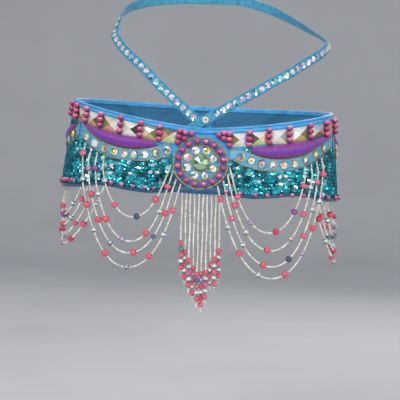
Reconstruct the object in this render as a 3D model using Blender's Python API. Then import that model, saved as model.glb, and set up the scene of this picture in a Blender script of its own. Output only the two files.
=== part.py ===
"""Belly dance hip belt, closed as it is worn round the hips.

A stiffened cloth band, bound along both edges, carries padded crescents, crystal garlands,
a round medallion, columns of large beads and mirror squares. Two straps rise in a V to the
waist. A fringe hangs under the medallion and swags of beaded strands hang to both sides.

Every size below is in millimetres, and points become metres as they are made. +Z is up, the
wearer faces -Y and +X is on the right of someone looking at the wearer. The origin is the
middle of the hips, level with the medallion.
"""

import math

import bmesh
import bpy
import numpy as np
from mathutils import Vector

MM = 0.001
SEAM_GAP = 0.3

# The hip form at the height of the origin, seen from above, is a rounded oval.
HIP_HALF_WIDTH = 163.5
HIP_FRONT_DEPTH = 103.0
HIP_BACK_DEPTH = 118.0
HIP_ROUNDNESS = 2.3
# The form widens downwards by this share for each millimetre, and the belt sits a little askew.
FLARE = 0.00061
TILT = math.radians(1.8)
SECTION_STEPS = 1440

PANEL_THICKNESS = 2.4
# What is sewn onto the band lies on this face, measured out from the band's inside.
FACE = PANEL_THICKNESS + SEAM_GAP
SIDE_SEAM = 217.0
PANEL_STEP = 9.5

# The belt's upper and lower edges, by distance round the hips from the front centre.
UPPER_EDGE = (
    # round, height
    (0, 44.0),
    (25, 45.8),
    (60, 49.7),
    (85, 53.2),
    (112, 57.4),
    (140, 62.3),
    (165, 66.3),
    (190, 69.5),
    (222, 71.5),
    (300, 72.0),
    (446, 70.0),
)
LOWER_EDGE = (
    # round, height
    (0, -33.0),
    (25, -32.5),
    (45, -34.5),
    (62, -35.5),
    (85, -33.8),
    (110, -30.8),
    (130, -31.0),
    (150, -34.5),
    (175, -36.5),
    (222, -38.0),
    (446, -37.5),
)

BINDING_WALL = 1.3
BINDING_LEG = 4.0
BINDING_ROUNDING = 0.8
BINDING_STEP = 12.0

# Lower and upper edge of each crystal garland, and the upper edge of the crescent that lies on it.
GARLAND_LEFT = (
    # round, lower, upper
    (37, 10.5, 25.0),
    (45, 6.2, 22.6),
    (54, 3.6, 19.8),
    (66, 1.7, 16.6),
    (80, 1.2, 15.0),
    (96, 1.5, 15.6),
    (110, 3.3, 18.2),
    (122, 6.8, 21.8),
    (133, 11.3, 26.2),
    (144, 17.2, 32.2),
    (153, 22.8, 38.4),
    (159, 27.0, 43.0),
)
GARLAND_RIGHT = (
    # round, lower, upper
    (33, 11.2, 20.6),
    (40, 7.2, 21.2),
    (48, 3.4, 21.0),
    (57, 0.4, 18.8),
    (66, -1.4, 15.6),
    (78, -2.7, 13.2),
    (92, -2.6, 12.8),
    (106, -1.0, 14.2),
    (119, 2.2, 17.0),
    (132, 7.0, 21.2),
    (145, 13.2, 27.6),
    (158, 20.6, 34.2),
    (172, 26.5, 39.5),
    (184, 30.0, 43.5),
)
CRESCENT_LEFT = (
    # round, upper
    (53, 22.6),
    (58, 25.2),
    (66, 27.6),
    (76, 29.2),
    (88, 30.2),
    (100, 31.2),
    (110, 32.7),
    (120, 34.4),
    (135, 38.0),
    (146, 40.0),
    (154, 41.2),
)
CRESCENT_RIGHT = (
    # round, upper
    (58, 20.8),
    (62, 25.0),
    (70, 26.6),
    (80, 28.0),
    (92, 30.0),
    (105, 32.2),
    (118, 34.2),
    (132, 36.4),
    (146, 38.7),
    (158, 40.7),
    (168, 42.2),
    (176, 43.2),
)
# The side garlands and crescents mirror the left ones about the peak where two garlands meet.
PEAK_GAP = 6.0
GARLAND_THICKNESS = 1.6
GARLAND_CORD_WIDTH = 1.5
GARLAND_CORD_HEIGHT = 0.9
GARLAND_STEP = 7.0
CRESCENT_RIM = 0.8
CRESCENT_PAD = 4.2
CRESCENT_WIDEST = 13.6
CRESCENT_NARROWEST = 1.2
# Where the padding's flank turns into its crown: share of the width, share of the padding.
CRESCENT_FLANK = (0.22, 0.8)
CRESCENT_STEP = 7.5
CRYSTAL_PITCH = 13.2
CRYSTAL_RADIUS = 4.6
CRYSTAL_HEIGHT = 3.0
CRYSTAL_SIDES = 6
# Every bead and stone reaches this far into the face that it stands on.
JEWEL_SINK = 1.0
# Share of the height where a bead starts to round over, and share of the radius at its top.
BEAD_SHOULDER, BEAD_TOP = 0.55, 0.5
# Share of the height of a stone's widest edge, and share of the radius of its flat top.
STONE_EDGE, STONE_TOP = 0.35, 0.6

MEDALLION_ROUND = -0.7
MEDALLION_HEIGHT = 2.9
MEDALLION_HALF_WIDTH = 32.8
MEDALLION_HALF_HEIGHT = 31.2
MEDALLION_SIDES = 24
# From the rim to the centre stone: radius as a share of the medallion's, and height above its underside.
MEDALLION_PROFILE = (
    # share, height
    (1.0, 0.0),
    (1.0, 2.6),
    (0.95, 2.6),
    (0.92, 1.6),
    (0.73, 1.6),
    (0.70, 2.6),
    (0.65, 2.6),
    (0.62, 1.6),
    (0.38, 1.8),
    (0.36, 2.8),
    (0.32, 4.4),
    (0.20, 6.2),
)
MEDALLION_CENTRE_HEIGHT = 6.8
# The underside has two more rings, so that it follows the belt as the top does.
MEDALLION_UNDERSIDE = (0.67, 0.34)
# The cloth between the cords, which the beads and crystals stand on.
MEDALLION_CLOTH = 1.6
RING_BEADS = 16
RING_BEAD_SHARE = 0.825
RING_BEAD_RADIUS = 2.7
RING_BEAD_HEIGHT = 4.6
MEDALLION_CRYSTALS = 8
MEDALLION_CRYSTAL_SHARE = 0.50
MEDALLION_CRYSTAL_RADIUS = 3.4
MEDALLION_CRYSTAL_HEIGHT = 2.6

# Columns of three beads and the mirror squares between them, by their distance round from the front.
COLUMNS_LEFT = (50, 75, 99, 125.5, 150, 172, 196)
COLUMNS_RIGHT = (55, 80, 105, 133, 162, 192)
FIRST_SQUARE_LEFT = 38.5
FIRST_SQUARE_RIGHT = 44.0
BEADS_IN_COLUMN = 3
COLUMN_PITCH = 6.1
COLUMN_BEAD_RADIUS = 2.9
COLUMN_BEAD_HEIGHT = 6.2
COLUMN_BEAD_SIDES = 6
SQUARE_HALF = 6.8
FIRST_SQUARE_HALF = 6.0
SQUARE_RIM = 1.2
SQUARE_PEAK = 3.4
SQUARE_TIP = 0.1
# Loose beads in the corners above the medallion.
CORNER_BEADS = (
    # round, height
    (-25.5, 37.6),
    (-18.6, 36.2),
    (-11.4, 36.8),
    (-27.2, 31.0),
    (-28.4, 24.4),
    (13.2, 37.0),
    (20.0, 35.6),
    (25.6, 38.2),
    (32.4, 37.6),
    (26.4, 30.6),
    (32.6, 29.4),
)
# The band of beads and squares stands on this line, which the crescents follow.
BAND_FLOOR = (
    # round, height
    (30, 24.5),
    (53, 26.0),
    (75, 29.4),
    (100, 31.6),
    (125, 36.0),
    (150, 41.0),
    (175, 45.0),
    (222, 49.0),
)

STRAP_WIDTH = 11.6
STRAP_THICKNESS = 2.2
STRAP_STEPS = 3
# Half the stretch, in degrees and in millimetres, over which the way out of the torso is measured.
TORSO_REACH_ROUND, TORSO_REACH_UP = 0.5, 1.0
# The form above the belt that the straps lie on, up to the waist.
TORSO = (
    # height, half width, front depth, back depth, shift to +X
    (30, 161.0, 96.9, 114.0, 2.0),
    (60, 159.0, 97.2, 112.0, 4.0),
    (100, 152.0, 99.0, 104.0, 9.0),
    (150, 139.0, 95.0, 93.0, 14.0),
    (170, 121.0, 91.0, 88.0, 14.0),
    (194, 108.0, 88.0, 85.0, 10.0),
    (220, 103.0, 86.0, 84.0, 7.0),
)
BACK_ANGLE = 179.9
STRAP_LEFT = (
    # angle from the front, height, depth below the other strap
    (2.3, 36.0, 2.6),
    (-2.5, 53.6, 2.6),
    (-9.5, 72.0, 0.0),
    (-17.4, 88.7, 0.0),
    (-25.5, 105.4, 0.0),
    (-33.2, 118.8, 0.0),
    (-46.0, 136.0, 0.0),
    (-61.0, 153.5, 0.0),
    (-74.0, 166.0, 0.0),
    (-88.0, 180.0, 0.0),
    (-105.0, 191.0, 0.0),
    (-135.0, 202.0, 0.0),
    (-162.0, 207.6, 0.0),
    (-BACK_ANGLE, 208.0, 0.0),
)
STRAP_RIGHT = (
    # angle from the front, height, depth below the other strap
    (-6.4, 36.5, 0.0),
    (-2.1, 47.8, 0.0),
    (2.7, 60.7, 0.0),
    (10.4, 76.3, 0.0),
    (24.0, 97.8, 0.0),
    (36.9, 113.9, 0.0),
    (48.8, 127.2, 0.0),
    (68.3, 142.0, 0.0),
    (88.0, 153.5, 0.0),
    (110.0, 172.0, 0.0),
    (138.0, 195.0, 0.0),
    (162.0, 207.0, 0.0),
    (BACK_ANGLE, 208.0, 0.0),
)

# The strip that a fringe's strands are sewn to lies just under the belt's lower edge.
STRIP_HEIGHT = 2.4
STRIP_THICKNESS = 2.4
STRIP_INSET = 0.4
STRIP_MIDDLE = STRIP_INSET + STRIP_THICKNESS / 2
STRAND_RADIUS = 1.1
FRINGE_FIRST = -19.8
FRINGE_PITCH = 4.9
FRINGE_BEAD_RADIUS = 2.1
FRINGE_BEAD_PITCH = 6.5
FRINGE_BEAD_LENGTH = 5.2
FRINGE_STRIP_MARGIN = 2.4
FRINGE_SIDES = 4
FRINGE = (
    # height where the large beads begin, height where the strand ends
    (-87.5, -125.0),
    (-99.0, -137.0),
    (-108.5, -143.0),
    (-118.0, -154.5),
    (-124.5, -166.0),
    (-124.5, -169.0),
    (-122.0, -157.5),
    (-112.5, -146.0),
    (-106.5, -142.0),
    (-97.0, -132.0),
)

SWAG_SIDES = 3
SWAG_STEP = 13.0
SWAG_BEAD_PITCH = 31.0
SWAG_BEAD_RADIUS = 2.6
SWAG_BEAD_LENGTH = 4.6
# Clear of the belt's face in front, and straight under its edge at the sides.
FRONT_SWAG_OUT = 8.2
SIDE_SWAG_OUT = 2.0
SWAG_LEAVES_WITHIN = 14.0
SWAG_STRIP_WIDTH = 1.8
SWAG_STRIP_GAP = 1.2
SWAG_STRIP_THICKNESS = 2.0
# How far a strip runs past its outermost strands, in degrees round the medallion and in millimetres.
MEDALLION_STRIP_MARGIN, GARLAND_STRIP_MARGIN, SIDE_STRIP_MARGIN = 3, 2, 3
# Share of a bead's length within which its strand is full, and within which other points are left out.
BEAD_FULL_WITHIN, BEAD_CLEARS = 0.1, 0.75
# The hanging curve's own size is found by halving between these two.
FINEST_CURVE, FLATTEST_CURVE, CURVE_TRIALS = 0.5, 4000.0, 80
FRONT_SWAG_LEFT = (
    # angle at the medallion from its lowest point, outer end, lowest height, first bead
    (82, 118, -65, 29),
    (66, 128, -94, 14),
    (51, 138, -108, 19),
    (38, 148, -125, 6),
)
FRONT_SWAG_RIGHT = (
    # angle at the medallion from its lowest point, outer end, lowest height, first bead
    (84, 127, -75, 24),
    (68, 137, -96, 27),
    (53, 146, -115, 30),
    (38, 155, -129, 22),
)
SIDE_SWAG_LEFT = (
    # front end, back end, lowest height, first bead
    (148, 235, -72, 24),
    (137, 245, -84, 18),
    (127, 256, -97, 25),
    (114, 268, -107, 24),
)
SIDE_SWAG_RIGHT = (
    # front end, back end, lowest height, first bead
    (165, 245, -68, 18),
    (156, 255, -84, 26),
    (148, 266, -100, 20),
    (141, 278, -113, 25),
)

CLOSURE_HALF_WIDTH = 15.0
CLOSURE_THICKNESS = 1.6
CLOSURE_CLEAR_OF_EDGES = 8.0
CLOSURE_SECTIONS = 5

COLOURS = {
    # colour, metallic, roughness
    "band_cloth": ((0.010, 0.240, 0.300), 0.0, 0.45),
    "satin_binding": ((0.030, 0.330, 0.780), 0.0, 0.35),
    "purple_thread": ((0.260, 0.020, 0.380), 0.0, 0.50),
    "crystal_garland": ((0.090, 0.380, 0.500), 0.0, 0.30),
    "medallion_cloth": ((0.480, 0.030, 0.150), 0.0, 0.35),
    "sequin_strap": ((0.040, 0.300, 0.420), 0.0, 0.30),
    "glass_strand": ((0.750, 0.740, 0.760), 0.0, 0.25),
    "hook_tape": ((0.020, 0.180, 0.420), 0.0, 0.70),
}


def oval(angle, half_width, depth_front, depth_back):
    """A point of a rounded oval seen from above, at an angle from the front centre."""
    side, ahead = math.sin(angle), math.cos(angle)
    depth = depth_front if ahead > 0 else depth_back
    power = 2 / HIP_ROUNDNESS
    return (
        half_width * math.copysign(abs(side) ** power, side),
        -depth * math.copysign(abs(ahead) ** power, ahead),
    )


def hip_section():
    """Distance round the hip section from the front centre, its points and the way out at each."""
    angles = np.linspace(-math.pi, math.pi, SECTION_STEPS + 1)
    points = np.array(
        [oval(a, HIP_HALF_WIDTH, HIP_FRONT_DEPTH, HIP_BACK_DEPTH) for a in angles]
    )
    steps = np.linalg.norm(np.diff(points, axis=0), axis=1)
    distance = np.concatenate([[0], np.cumsum(steps)])
    distance -= distance[-1] / 2
    along = np.gradient(points, axis=0)
    along /= np.linalg.norm(along, axis=1)[:, None]
    outwards = np.stack([along[:, 1], -along[:, 0]], axis=1)
    return distance, points, outwards


ROUND, SECTION, OUTWARDS = hip_section()
BACK_CENTRE = ROUND[-1]


def on_hips(u, v, out):
    """The point at distance u round the hips, height v on the belt, and a distance out from its inside."""
    x, y = (np.interp(u, ROUND, SECTION[:, k]) for k in (0, 1))
    out_x, out_y = (np.interp(u, ROUND, OUTWARDS[:, k]) for k in (0, 1))
    spread = 1 - FLARE * v
    x, y = x * spread + out_x * out, y * spread + out_y * out
    cosine, sine = math.cos(TILT), math.sin(TILT)
    return Vector((x * cosine + v * sine, y, v * cosine - x * sine)) * MM


def frame_on_hips(u, v):
    """Directions along, up and out of the belt's face at a point."""
    along = (on_hips(u + 0.5, v, 0) - on_hips(u - 0.5, v, 0)).normalized()
    up = (on_hips(u, v + 0.5, 0) - on_hips(u, v - 0.5, 0)).normalized()
    return along, up, along.cross(up).normalized()


def smooth(table, column, place):
    """A table's column at a place, on a smooth curve through its rows. Column 0 holds the places."""
    places = [row[0] for row in table]
    values = [row[column] for row in table]
    place = min(max(place, places[0]), places[-1])
    row = max(k for k in range(len(table) - 1) if places[k] <= place)
    slopes = []
    for k in (row, row + 1):
        low, high = max(k - 1, 0), min(k + 1, len(table) - 1)
        slopes.append((values[high] - values[low]) / (places[high] - places[low]))
    span = places[row + 1] - places[row]
    t = (place - places[row]) / span
    return (
        (2 * t**3 - 3 * t**2 + 1) * values[row]
        + (t**3 - 2 * t**2 + t) * span * slopes[0]
        + (3 * t**2 - 2 * t**3) * values[row + 1]
        + (t**3 - t**2) * span * slopes[1]
    )


def upper_edge(u):
    return smooth(UPPER_EDGE, 1, abs(u))


def lower_edge(u):
    return smooth(LOWER_EDGE, 1, abs(u))


def places_between(start, end, step):
    """Evenly spaced places from start to end, about a step apart."""
    return np.linspace(start, end, max(2, round(abs(end - start) / step) + 1))


def material(name):
    colour, metallic, roughness = COLOURS[name]
    made = bpy.data.materials.get(name) or bpy.data.materials.new(name)
    made.use_nodes = True
    shader = made.node_tree.nodes["Principled BSDF"]
    shader.inputs["Base Color"].default_value = (*colour, 1)
    shader.inputs["Metallic"].default_value = metallic
    shader.inputs["Roughness"].default_value = roughness
    made.diffuse_color = (*colour, 1)
    return made


def add_loft(bm, rings):
    """A closed solid through rings of equally many points, capped at both ends."""
    rows = [[bm.verts.new(point) for point in ring] for ring in rings]
    count = len(rows[0])
    for first, second in zip(rows, rows[1:]):
        for k in range(count):
            after = (k + 1) % count
            bm.faces.new((first[k], first[after], second[after], second[k]))
    bm.faces.new(rows[0])
    bm.faces.new(rows[-1])


def add_dome(bm, centre, along, up, out, profile, sides, turn=0.0):
    """A turned knob on a face, from (radius, height) rows that start below the face and end at the top."""
    rows = []
    for radius, height in profile:
        ring = []
        for k in range(sides):
            angle = turn + 2 * math.pi * k / sides
            offset = along * math.cos(angle) + up * math.sin(angle)
            ring.append(bm.verts.new(centre + (offset * radius + out * height) * MM))
        rows.append(ring)
    for first, second in zip(rows, rows[1:]):
        for k in range(sides):
            after = (k + 1) % sides
            bm.faces.new((first[k], first[after], second[after], second[k]))
    bm.faces.new(rows[0])
    bm.faces.new(rows[-1])


def finish_object(name, bm, material_name, collection):
    """Turns the faces outwards and makes the object."""
    bmesh.ops.recalc_face_normals(bm, faces=bm.faces[:])
    mesh = bpy.data.meshes.new(name)
    bm.to_mesh(mesh)
    bm.free()
    mesh.materials.append(material(material_name))
    made = bpy.data.objects.new(name, mesh)
    collection.objects.link(made)
    return made


def helper_group(parent, name):
    """A collection for solids that are joined to a piece and aren't pieces themselves."""
    group = bpy.data.collections.new(name)
    group.hide_render = True
    parent.children.link(group)
    return group


def hide_helper(made):
    made.hide_render = True
    made.display_type = "WIRE"


def join_group(piece, group):
    union = piece.modifiers.new("joined", "BOOLEAN")
    union.operation = "UNION"
    union.operand_type = "COLLECTION"
    union.collection = group
    union.solver = "EXACT"


def panel(name, start, end, collection):
    """A stretch of the stiffened band, between the two bindings."""
    inset = BINDING_WALL + SEAM_GAP
    rings = []
    for u in places_between(start, end, PANEL_STEP):
        low, high = lower_edge(u) + inset, upper_edge(u) - inset
        heights = (low, (low + high) / 2, high)
        inside = [on_hips(u, v, 0) for v in heights]
        outside = [on_hips(u, v, PANEL_THICKNESS) for v in reversed(heights)]
        rings.append(inside + outside)
    bm = bmesh.new()
    add_loft(bm, rings)
    return finish_object(name, bm, "band_cloth", collection)


def binding(name, start, end, edge, inwards, collection):
    """A folded strip over the band's edge. Inwards is -1 where the legs point down, 1 where they point up."""
    inner, outer = -SEAM_GAP, PANEL_THICKNESS + SEAM_GAP
    fold = (
        # out, distance from the edge into the belt
        (inner - BINDING_WALL, BINDING_LEG),
        (inner, BINDING_LEG),
        (inner, BINDING_WALL),
        (outer, BINDING_WALL),
        (outer, BINDING_LEG),
        (outer + BINDING_WALL, BINDING_LEG),
        (outer + BINDING_WALL, BINDING_ROUNDING),
        (outer, 0),
        (inner, 0),
        (inner - BINDING_WALL, BINDING_ROUNDING),
    )
    rings = [
        [on_hips(u, edge(u) + inwards * depth, out) for out, depth in fold]
        for u in places_between(start, end, BINDING_STEP)
    ]
    bm = bmesh.new()
    add_loft(bm, rings)
    return finish_object(name, bm, "satin_binding", collection)


def knob(radius, height):
    """Rows of a rounded bead that stands on a face."""
    return ((radius, -JEWEL_SINK), (radius, height * BEAD_SHOULDER), (radius * BEAD_TOP, height))


def crystal(radius, height):
    """Rows of a faceted stone with a flat top."""
    return ((radius, -JEWEL_SINK), (radius, height * STONE_EDGE), (radius * STONE_TOP, height))


def side_table(table, peak):
    """The left table's rows turned about a peak, so that they run on round the side."""
    outer = GARLAND_LEFT[-1][0]
    start = peak + PEAK_GAP
    return tuple((start + outer - row[0], *row[1:]) for row in reversed(table))


def garland(name, side, table, collection):
    """A flat strip between two curved edges, with a cord on each edge and crystals down the middle."""
    start, end = table[0][0], table[-1][0]
    top = FACE + GARLAND_THICKNESS
    cord_top = top + GARLAND_CORD_HEIGHT
    rings = []
    for u in places_between(start, end, GARLAND_STEP):
        low, high = smooth(table, 1, u), smooth(table, 2, u)
        outline = (
            (low, FACE),
            (high, FACE),
            (high, cord_top),
            (high - GARLAND_CORD_WIDTH, top),
            (low + GARLAND_CORD_WIDTH, top),
            (low, cord_top),
        )
        rings.append([on_hips(side * u, v, out) for v, out in outline])
    bm = bmesh.new()
    add_loft(bm, rings)
    strip = finish_object(name, bm, "crystal_garland", collection)
    group = helper_group(collection, name + "_crystals")
    bm = bmesh.new()
    for u in crystal_places(table):
        v = (smooth(table, 1, u) + smooth(table, 2, u)) / 2
        along, up, out = frame_on_hips(side * u, v)
        centre = on_hips(side * u, v, top)
        add_dome(bm, centre, along, up, out, crystal(CRYSTAL_RADIUS, CRYSTAL_HEIGHT), CRYSTAL_SIDES)
    hide_helper(finish_object(name + "_stones", bm, "crystal_garland", group))
    join_group(strip, group)
    return strip


def crystal_places(table):
    """Where the crystals stand along a garland, evenly spaced along its curved middle line."""
    fine = np.linspace(table[0][0], table[-1][0], 200)
    middle = [(smooth(table, 1, u) + smooth(table, 2, u)) / 2 for u in fine]
    length = np.concatenate([[0], np.cumsum(np.hypot(np.diff(fine), np.diff(middle)))])
    count = int(length[-1] // CRYSTAL_PITCH)
    first = (length[-1] - (count - 1) * CRYSTAL_PITCH) / 2
    return [float(np.interp(first + k * CRYSTAL_PITCH, length, fine)) for k in range(count)]


def crescent(name, side, table, garland_table, collection):
    """A padded crescent whose lower edge follows the garland under it."""
    rings = []
    for u in places_between(table[0][0], table[-1][0], CRESCENT_STEP):
        low = smooth(garland_table, 2, u) + 2 * SEAM_GAP
        high = max(smooth(table, 1, u), low + CRESCENT_NARROWEST)
        width = high - low
        pad = CRESCENT_PAD * math.sqrt(min(width / CRESCENT_WIDEST, 1))
        rim = FACE + CRESCENT_RIM
        inwards, flank = CRESCENT_FLANK[0] * width, rim + CRESCENT_FLANK[1] * pad
        outline = (
            (low, FACE),
            (high, FACE),
            (high, rim),
            (high - inwards, flank),
            (high - width / 2, rim + pad),
            (low + inwards, flank),
            (low, rim),
        )
        rings.append([on_hips(side * u, v, out) for v, out in outline])
    bm = bmesh.new()
    add_loft(bm, rings)
    return finish_object(name, bm, "purple_thread", collection)


def on_medallion(share, angle, height):
    """Place on the belt and distance out, at a share of the medallion's radius and an angle round it."""
    u = MEDALLION_ROUND + share * MEDALLION_HALF_WIDTH * math.cos(angle)
    v = MEDALLION_HEIGHT + share * MEDALLION_HALF_HEIGHT * math.sin(angle)
    return u, v, FACE + height


def medallion(collection):
    """A round plate that follows the belt, with raised cords, a ring of beads, crystals and a centre stone."""
    bm = bmesh.new()
    rows = []
    underside = [(share, 0.0) for share in reversed(MEDALLION_UNDERSIDE)]
    for share, height in underside + list(MEDALLION_PROFILE):
        ring = []
        for k in range(MEDALLION_SIDES):
            place = on_medallion(share, 2 * math.pi * k / MEDALLION_SIDES, height)
            ring.append(bm.verts.new(on_hips(*place)))
        rows.append(ring)
    for first, second in zip(rows, rows[1:]):
        for k in range(MEDALLION_SIDES):
            after = (k + 1) % MEDALLION_SIDES
            bm.faces.new((first[k], first[after], second[after], second[k]))
    bm.faces.new(rows[0])
    top = bm.verts.new(on_hips(*on_medallion(0, 0, MEDALLION_CENTRE_HEIGHT)))
    for k in range(MEDALLION_SIDES):
        bm.faces.new((rows[-1][k], rows[-1][(k + 1) % MEDALLION_SIDES], top))
    plate = finish_object("medallion", bm, "medallion_cloth", collection)
    group = helper_group(collection, "medallion_jewels")
    bm = bmesh.new()
    rings = (
        (RING_BEADS, RING_BEAD_SHARE, knob(RING_BEAD_RADIUS, RING_BEAD_HEIGHT), COLUMN_BEAD_SIDES),
        (
            MEDALLION_CRYSTALS,
            MEDALLION_CRYSTAL_SHARE,
            crystal(MEDALLION_CRYSTAL_RADIUS, MEDALLION_CRYSTAL_HEIGHT),
            CRYSTAL_SIDES,
        ),
    )
    for count, share, rows_of_knob, sides in rings:
        for k in range(count):
            u, v, out_of_face = on_medallion(share, 2 * math.pi * k / count, MEDALLION_CLOTH)
            along, up, out = frame_on_hips(u, v)
            add_dome(bm, on_hips(u, v, out_of_face), along, up, out, rows_of_knob, sides)
    hide_helper(finish_object("medallion_beads", bm, "medallion_cloth", group))
    join_group(plate, group)
    return plate


def band_middle(u):
    """Height of the middle of the band of beads and squares."""
    return (upper_edge(u) - BINDING_LEG + smooth(BAND_FLOOR, 1, abs(u))) / 2


def front_jewels(piece, collection):
    """Raises the bead columns, the mirror squares and the corner beads from the front panel's face."""
    group = helper_group(collection, "front_panel_jewels")
    bm = bmesh.new()
    bead = knob(COLUMN_BEAD_RADIUS, COLUMN_BEAD_HEIGHT)

    def raise_knob(u, v, rows, sides, turn=0.0):
        along, up, out = frame_on_hips(u, v)
        add_dome(bm, on_hips(u, v, PANEL_THICKNESS), along, up, out, rows, sides, turn)

    for side, columns, first_square in (
        (-1, COLUMNS_LEFT, FIRST_SQUARE_LEFT),
        (1, COLUMNS_RIGHT, FIRST_SQUARE_RIGHT),
    ):
        for u in columns:
            for k in range(BEADS_IN_COLUMN):
                v = band_middle(u) + (k - 1) * COLUMN_PITCH
                raise_knob(side * u, v, bead, COLUMN_BEAD_SIDES)
        squares = [(first_square, FIRST_SQUARE_HALF)]
        squares += [((a + b) / 2, SQUARE_HALF) for a, b in zip(columns, columns[1:])]
        for u, half in squares:
            corner = half * math.sqrt(2)
            rows = ((corner, -JEWEL_SINK), (corner, SQUARE_RIM), (corner * SQUARE_TIP, SQUARE_PEAK))
            raise_knob(side * u, band_middle(u), rows, 4, math.pi / 4)
    for u, v in CORNER_BEADS:
        raise_knob(u, v, bead, COLUMN_BEAD_SIDES)
    hide_helper(finish_object("front_panel_beads", bm, "band_cloth", group))
    join_group(piece, group)


def on_torso(angle, height, out):
    """A point of the form above the belt, at an angle from the front, a height, and a distance out."""
    half_width, front, back, shift = (smooth(TORSO, k, height) for k in (1, 2, 3, 4))
    x, y = oval(math.radians(angle), half_width + out, front + out, back + out)
    return Vector((x + shift, y, height)) * MM


def strap(name, table, collection):
    """A flat strap that lies on the torso along the table's route."""
    numbered = [(k, *row) for k, row in enumerate(table)]
    places = [
        [smooth(numbered, column, t) for column in (1, 2, 3)]
        for t in np.linspace(0, len(table) - 1, (len(table) - 1) * STRAP_STEPS + 1)
    ]
    centres = [on_torso(angle, height, -depth) for angle, height, depth in places]
    rings = []
    for k, (angle, height, depth) in enumerate(places):
        ahead = centres[min(k + 1, len(centres) - 1)] - centres[max(k - 1, 0)]
        turned = [on_torso(angle + way * TORSO_REACH_ROUND, height, 0) for way in (-1, 1)]
        raised = [on_torso(angle, height + way * TORSO_REACH_UP, 0) for way in (-1, 1)]
        out = (turned[1] - turned[0]).cross(raised[1] - raised[0]).normalized()
        across = out.cross(ahead).normalized() * (STRAP_WIDTH / 2 * MM)
        half = out * (STRAP_THICKNESS / 2 * MM)
        centre = centres[k]
        rings.append(
            [centre - across - half, centre + across - half, centre + across + half, centre - across + half]
        )
    bm = bmesh.new()
    add_loft(bm, rings)
    return finish_object(name, bm, "sequin_strap", collection)


def strand_rings(points, radii, sides):
    """Rings of a thin strand along points, each with its own radius."""
    rings = []
    side_way = None
    for k, point in enumerate(points):
        ahead = (points[min(k + 1, len(points) - 1)] - points[max(k - 1, 0)]).normalized()
        if side_way is None:
            side_way = ahead.orthogonal()
        side_way = (side_way - ahead * side_way.dot(ahead)).normalized()
        other = ahead.cross(side_way)
        rings.append(
            [
                point
                + (side_way * math.cos(angle) + other * math.sin(angle)) * radii[k] * MM
                for angle in (2 * math.pi * j / sides for j in range(sides))
            ]
        )
    return rings


def edge_strip(name, start, end, collection):
    """A narrow strip just under the belt's lower edge, which strands hang from."""
    rings = []
    for u in places_between(start, end, PANEL_STEP):
        high = lower_edge(u) - SEAM_GAP
        low = high - STRIP_HEIGHT
        far = STRIP_INSET + STRIP_THICKNESS
        outline = ((low, STRIP_INSET), (high, STRIP_INSET), (high, far), (low, far))
        rings.append([on_hips(u, v, out) for v, out in outline])
    bm = bmesh.new()
    add_loft(bm, rings)
    return finish_object(name, bm, "glass_strand", collection)


def bead_radii(place, beads, length, bead_radius):
    """Radius of a strand at a place along it: thin, and full at a bead."""
    near = min((abs(place - bead) for bead in beads), default=length)
    return bead_radius if near < length * BEAD_FULL_WITHIN else STRAND_RADIUS


def strand_places(total, step, beads, length):
    """Places along a strand that catch the start, middle and end of every bead."""
    places = {0.0, total}
    places.update(float(p) for p in places_between(0, total, step))
    for bead in beads:
        places = {p for p in places if abs(p - bead) > length * BEAD_CLEARS or p in (0.0, total)}
    for bead in beads:
        for share in (-0.5, 0, 0.5):
            places.add(bead + share * length)
    return sorted(p for p in places if 0 <= p <= total)


def centre_fringe(collection):
    """Straight strands under the medallion, longest in the middle, with large beads on their lower ends."""
    last = FRINGE_FIRST + (len(FRINGE) - 1) * FRINGE_PITCH
    ends = (FRINGE_FIRST - FRINGE_STRIP_MARGIN, last + FRINGE_STRIP_MARGIN)
    strip = edge_strip("fringe_centre", *ends, collection)
    group = helper_group(collection, "fringe_centre_strands")
    for number, (beads_from, end) in enumerate(FRINGE):
        u = FRINGE_FIRST + number * FRINGE_PITCH
        root = on_hips(u, lower_edge(u) - SEAM_GAP - STRIP_HEIGHT / 2, STRIP_MIDDLE)
        total = root.z / MM - end
        first = root.z / MM - beads_from + FRINGE_BEAD_PITCH / 2
        beads = list(np.arange(first, total - FRINGE_BEAD_LENGTH / 2, FRINGE_BEAD_PITCH))
        places = strand_places(total, total, beads, FRINGE_BEAD_LENGTH)
        radii = [bead_radii(p, beads, FRINGE_BEAD_LENGTH, FRINGE_BEAD_RADIUS) for p in places]
        points = [root - Vector((0, 0, p * MM)) for p in places]
        bm = bmesh.new()
        add_loft(bm, strand_rings(points, radii, FRINGE_SIDES))
        hide_helper(finish_object(f"fringe_strand_{number}", bm, "glass_strand", group))
    join_group(strip, group)
    return strip


def hanging_curve(start, end, lowest):
    """Rows (u, height, length so far), 1 mm apart, of a strand that hangs between two ends."""
    rise = (start[1] - lowest, end[1] - lowest)
    span = abs(end[0] - start[0])
    slack, tight = FINEST_CURVE, FLATTEST_CURVE
    for _ in range(CURVE_TRIALS):
        shape = math.sqrt(slack * tight)
        reach = sum(shape * math.acosh(1 + r / shape) for r in rise)
        slack, tight = (shape, tight) if reach < span else (slack, shape)
    left = shape * math.acosh(1 + rise[0] / shape)
    way = math.copysign(1, end[0] - start[0])
    arcs = [shape * math.sinh(part / shape) for part in (-left, span - left)]
    places = np.append(np.arange(arcs[0], arcs[1]), arcs[1])
    flat = shape * np.arcsinh(places / shape)
    heights = lowest + shape * (np.cosh(flat / shape) - 1)
    return [(start[0] + way * (left + x), z, s - arcs[0]) for x, z, s in zip(flat, heights, places)]


def beside_hips(u, height, out):
    """A point on the belt's face or, below its lower edge, straight under that edge."""
    edge = lower_edge(u)
    if height >= edge:
        return on_hips(u, height, out)
    return on_hips(u, edge, out) + Vector((0, 0, height - edge)) * MM


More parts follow.
